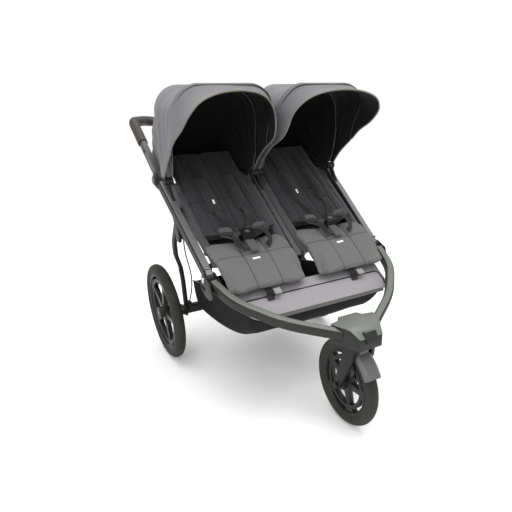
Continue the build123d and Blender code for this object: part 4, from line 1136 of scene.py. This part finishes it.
def footwell():
    def shape(u, v):
        s = v * ramp_length
        x = (2 * u - 1) * ramp_half(s)
        crown = 0.0022 * (1 - (2 * u - 1) ** 2) * sin(pi * v) + 0.0012 * ripple((x, s, 0), 0.11, 8.0)
        return on_ramp(x, s, 0.0002 + crown)

    panel = cloth_sheet("footwell_panel_cloth", 120, 40, shape, at(0, -0.60, 0.1), 0.003, panel_cloth,
                        basket_cloth)
    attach(panel, "chassis")
    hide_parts("footwell_panel")

    low_y = ramp_length - 0.0055
    band = grid("footwell_binding", 120, 3, lambda u, v: on_ramp(
        (2 * u - 1) * (ramp_half(ramp_length - 0.001) + 0.012), ramp_length - 0.0085 + 0.0115 * v,
        0.0016 + 0.0016 * sin(pi * v)))
    band.data.materials.append(binding_cloth)
    face_out(band, at(0, -0.60, 0.1))
    apply_modifier(band, "SOLIDIFY", thickness=0.0022, offset=-1)
    smooth(band, 60)
    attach(band, "chassis")
    edge = [on_ramp((2 * k / 60 - 1) * (ramp_half(low_y) + 0.006), ramp_length - 0.0105, 0.0030)
            for k in range(61)]
    rim = cord_mesh("footwell_edge_piping", edge, 0.0016, clip_plastic)
    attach(rim, "chassis")

    zip_line = [on_ramp(-0.262 + 0.520 * k / 30, 0.046, 0.0022) for k in range(31)]
    for k in range(1, 9):
        turn = k / 8 * pi / 2
        zip_line.append(on_ramp(0.258 + 0.014 * sin(turn), 0.046 + 0.014 * (1 - cos(turn)), 0.0022))
    for k in range(1, 9):
        zip_line.append(on_ramp(0.272 - 0.010 * (k / 8) ** 3, 0.060 + 0.052 * k / 8, 0.0022))
    ups = [ramp_up]
    zipper = ribbon("footwell_zip", zip_line, ups, 0.0050, 0.0012, zip_tape, 120)
    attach(zipper, "chassis")
    teeth_line = curve_through(zip_line)
    teeth = cord_mesh("footwell_zip_teeth", [teeth_line(k / 160) + ramp_up * (0.0009 + 0.0003 * (k % 2))
                                             for k in range(161)], 0.0009, black_plastic, 2)
    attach(teeth, "chassis")


def basket():
    """Low black cloth basket hung from the hoop, the footwell panel and the axle beam."""
    bottom = [at(0, -0.662, 0.382), at(0, -0.640, 0.350), at(0, -0.605, 0.322), at(0, -0.530, 0.282),
              at(0, -0.450, 0.246), at(0, -0.340, 0.220), at(0, -0.221, 0.204), at(0, -0.110, 0.199),
              at(0, -0.070, 0.212), at(0, -0.055, 0.250), at(0, -0.052, 0.327)]
    half_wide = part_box("cargo_basket")[1].x - 0.001
    brim_line = [(-0.664, 0.384), (-0.560, 0.436), (-0.050, 0.330)]

    def brim(y):
        y -= rear_axle.y
        for (y0, z0), (y1, z1) in zip(brim_line, brim_line[1:]):
            if y <= y1:
                return z0 + (z1 - z0) * max((y - y0) / (y1 - y0), 0)
        return brim_line[-1][1]

    def half(y):
        return half_wide - 0.030 * ease((rear_axle.y - 0.58 - y) / 0.09)

    shape = trough(bottom, brim, half, 0.0, 0.006, 0.045)
    piece = cloth_sheet("cargo_basket_cloth", 90, 90, shape, at(0, -0.35, 0.6), 0.0018, basket_cloth,
                        basket_cloth)
    hem_pieces = []
    for u in (0.0, 1.0):
        hem = cord_mesh(f"basket_hem_{'left' if u == 0 else 'right'}",
                        [shape(u, 0.10 + 0.84 * k / 60) for k in range(61)], 0.0022, binding_cloth)
        hem_pieces.append(hem)
    for item in [piece] + hem_pieces:
        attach(item, "chassis")
        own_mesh(item)
    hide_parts("cargo_basket")


def front_clips():
    """Under each seat: a black strap with a stiff end, and the pale square clip beside it."""
    for side, sign in SIDES:
        x = sign * seat_x + 0.012
        strap = ribbon(f"front_strap_{side}", [
            at(x - 0.020, -0.580, 0.462), at(x - 0.020, -0.596, 0.451), on_ramp(x - 0.020, 0.050, 0.010),
            on_ramp(x - 0.020, 0.066, 0.006)], [(0, -0.6, 0.8), (0, -0.5, 0.86)], 0.024, 0.0022,
            black_webbing, 30)
        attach(strap, "upper_frame")
        bpy.ops.mesh.primitive_cube_add(size=1)
        clip = bpy.context.object
        clip.name = f"front_clip_{side}"
        lie = Matrix.Rotation(radians(28), 4, "X")
        face = [f.index for f in clip.data.polygons if f.normal.z > 0.9]
        for corner_point in clip.data.vertices:
            corner_point.co = Vector((corner_point.co.x * 0.025, corner_point.co.y * 0.024,
                                      corner_point.co.z * 0.006))
        active(clip)
        bpy.ops.object.mode_set(mode="EDIT")
        bpy.ops.mesh.select_all(action="DESELECT")
        bpy.ops.object.mode_set(mode="OBJECT")
        for index in face:
            clip.data.polygons[index].select = True
        bpy.ops.object.mode_set(mode="EDIT")
        bpy.ops.mesh.inset(thickness=0.0035, depth=0)
        bpy.ops.mesh.inset(thickness=0.0006, depth=-0.0014)
        bpy.ops.object.mode_set(mode="OBJECT")
        for corner_point in clip.data.vertices:
            corner_point.co = at(x + 0.006, -0.602, 0.4515) + lie @ corner_point.co
        apply_modifier(clip, "BEVEL", width=0.0014, segments=2, limit_method="ANGLE", angle_limit=radians(40))
        clip.data.materials.append(clip_plastic)
        smooth(clip, 40)
        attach(clip, "upper_frame")
        if sign < 0:
            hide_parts("seat_clips")


footwell()
basket()
front_clips()


# ---------------------------------------------------------------- trim on the frame
def strip_on(name, points, ups, width, thickness, material, body, along=60):
    """A thin raised strip of trim that rides with its body."""
    piece = ribbon(name, points, ups, width, thickness, material, along)
    apply_modifier(piece, "BEVEL", width=0.0004, segments=2, limit_method="ANGLE", angle_limit=radians(40))
    smooth(piece, 40)
    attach(piece, body)
    return piece


hinge_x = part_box("fold_knuckles")[1].x - 0.015
for side, sign in SIDES:
    strip_on(f"tube_strip_{side}", [on_tube(sign * (hinge_x + 0.0115 * (d - 0.036) / 0.4), d, 0.0196)
                                    for d in (0.036, 0.12, 0.20, 0.28, 0.325)],
             [tube_up], 0.020, 0.0014, satin_strip, "upper_frame")
    strip_on(f"knuckle_strip_{side}", [on_tube(sign * hinge_x, d, 0.0150 + 0.12 * (d + 0.0))
                                                       for d in (0.004, 0.016, 0.030)],
                             [tube_up], 0.020, 0.0016, satin_strip, "upper_frame", 10)

for k, offset in enumerate((-0.0075, -0.0045, -0.0015, 0.0015, 0.0045, 0.0075)):
    rib = cord_mesh(f"rail_rib_{k + 1}", [on_tube(offset, 0.012 + 0.386 * n / 8, 0.0192) for n in range(9)],
                    0.0011, satin_strip, 2)
    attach(rib, "upper_frame")


# ---------------------------------------------------------------- floor, lights and camera
bpy.ops.mesh.primitive_plane_add(size=400)
studio_floor = bpy.context.object
studio_floor.name = "studio_floor"
for corner_point in studio_floor.data.vertices:
    corner_point.co.z -= 0.0005
paper = Finish("studio paper", 0.9, specular=0.1)
paper.shader.inputs["Base Color"].default_value = (1.0, 1.0, 1.0, 1)
studio_floor.data.materials.append(paper.material)

world = bpy.data.worlds.new("studio")
bpy.context.scene.world = world
world.use_nodes = True
world.node_tree.nodes["Background"].inputs["Color"].default_value = (1, 1, 1, 1)
world.node_tree.nodes["Background"].inputs["Strength"].default_value = 1.0


def softbox(name, place, target, size, power):
    light = bpy.data.lights.new(name, "AREA")
    light.size = size
    light.energy = power
    lamp = bpy.data.objects.new(name, light)
    bpy.context.scene.collection.objects.link(lamp)
    lamp.location = place
    lamp.rotation_euler = (Vector(target) - Vector(place)).to_track_quat("-Z", "Y").to_euler()


softbox("overhead softbox", (0.2, -0.2, 3.0), (0, 0, 0.5), 2.6, 70)
softbox("front left softbox", (-2.2, -2.2, 2.2), (0, -0.1, 0.5), 1.8, 30)

azimuth, elevation, roll = radians(-32.0), radians(25.65), radians(-0.33)
back = Vector((sin(azimuth) * cos(elevation), -cos(azimuth) * cos(elevation), sin(elevation)))
right = Vector((cos(azimuth), sin(azimuth), 0))
up = back.cross(right)
right_rolled = right * cos(roll) + up * sin(roll)
up_rolled = up * cos(roll) - right * sin(roll)
camera_data = bpy.data.cameras.new("camera")
camera = bpy.data.objects.new("camera", camera_data)
bpy.context.scene.collection.objects.link(camera)
turn = Matrix((right_rolled, up_rolled, back)).transposed().to_4x4()
camera.matrix_world = Matrix.Translation(at(-0.8344, -1.8992, 1.0528)) @ turn
camera_data.lens = 34.14
camera_data.sensor_width = 36
camera_data.shift_x = -0.107
camera_data.shift_y = 0.1223
camera_data.clip_start = 0.05
bpy.context.scene.camera = camera
bpy.context.scene.view_settings.view_transform = "Standard"
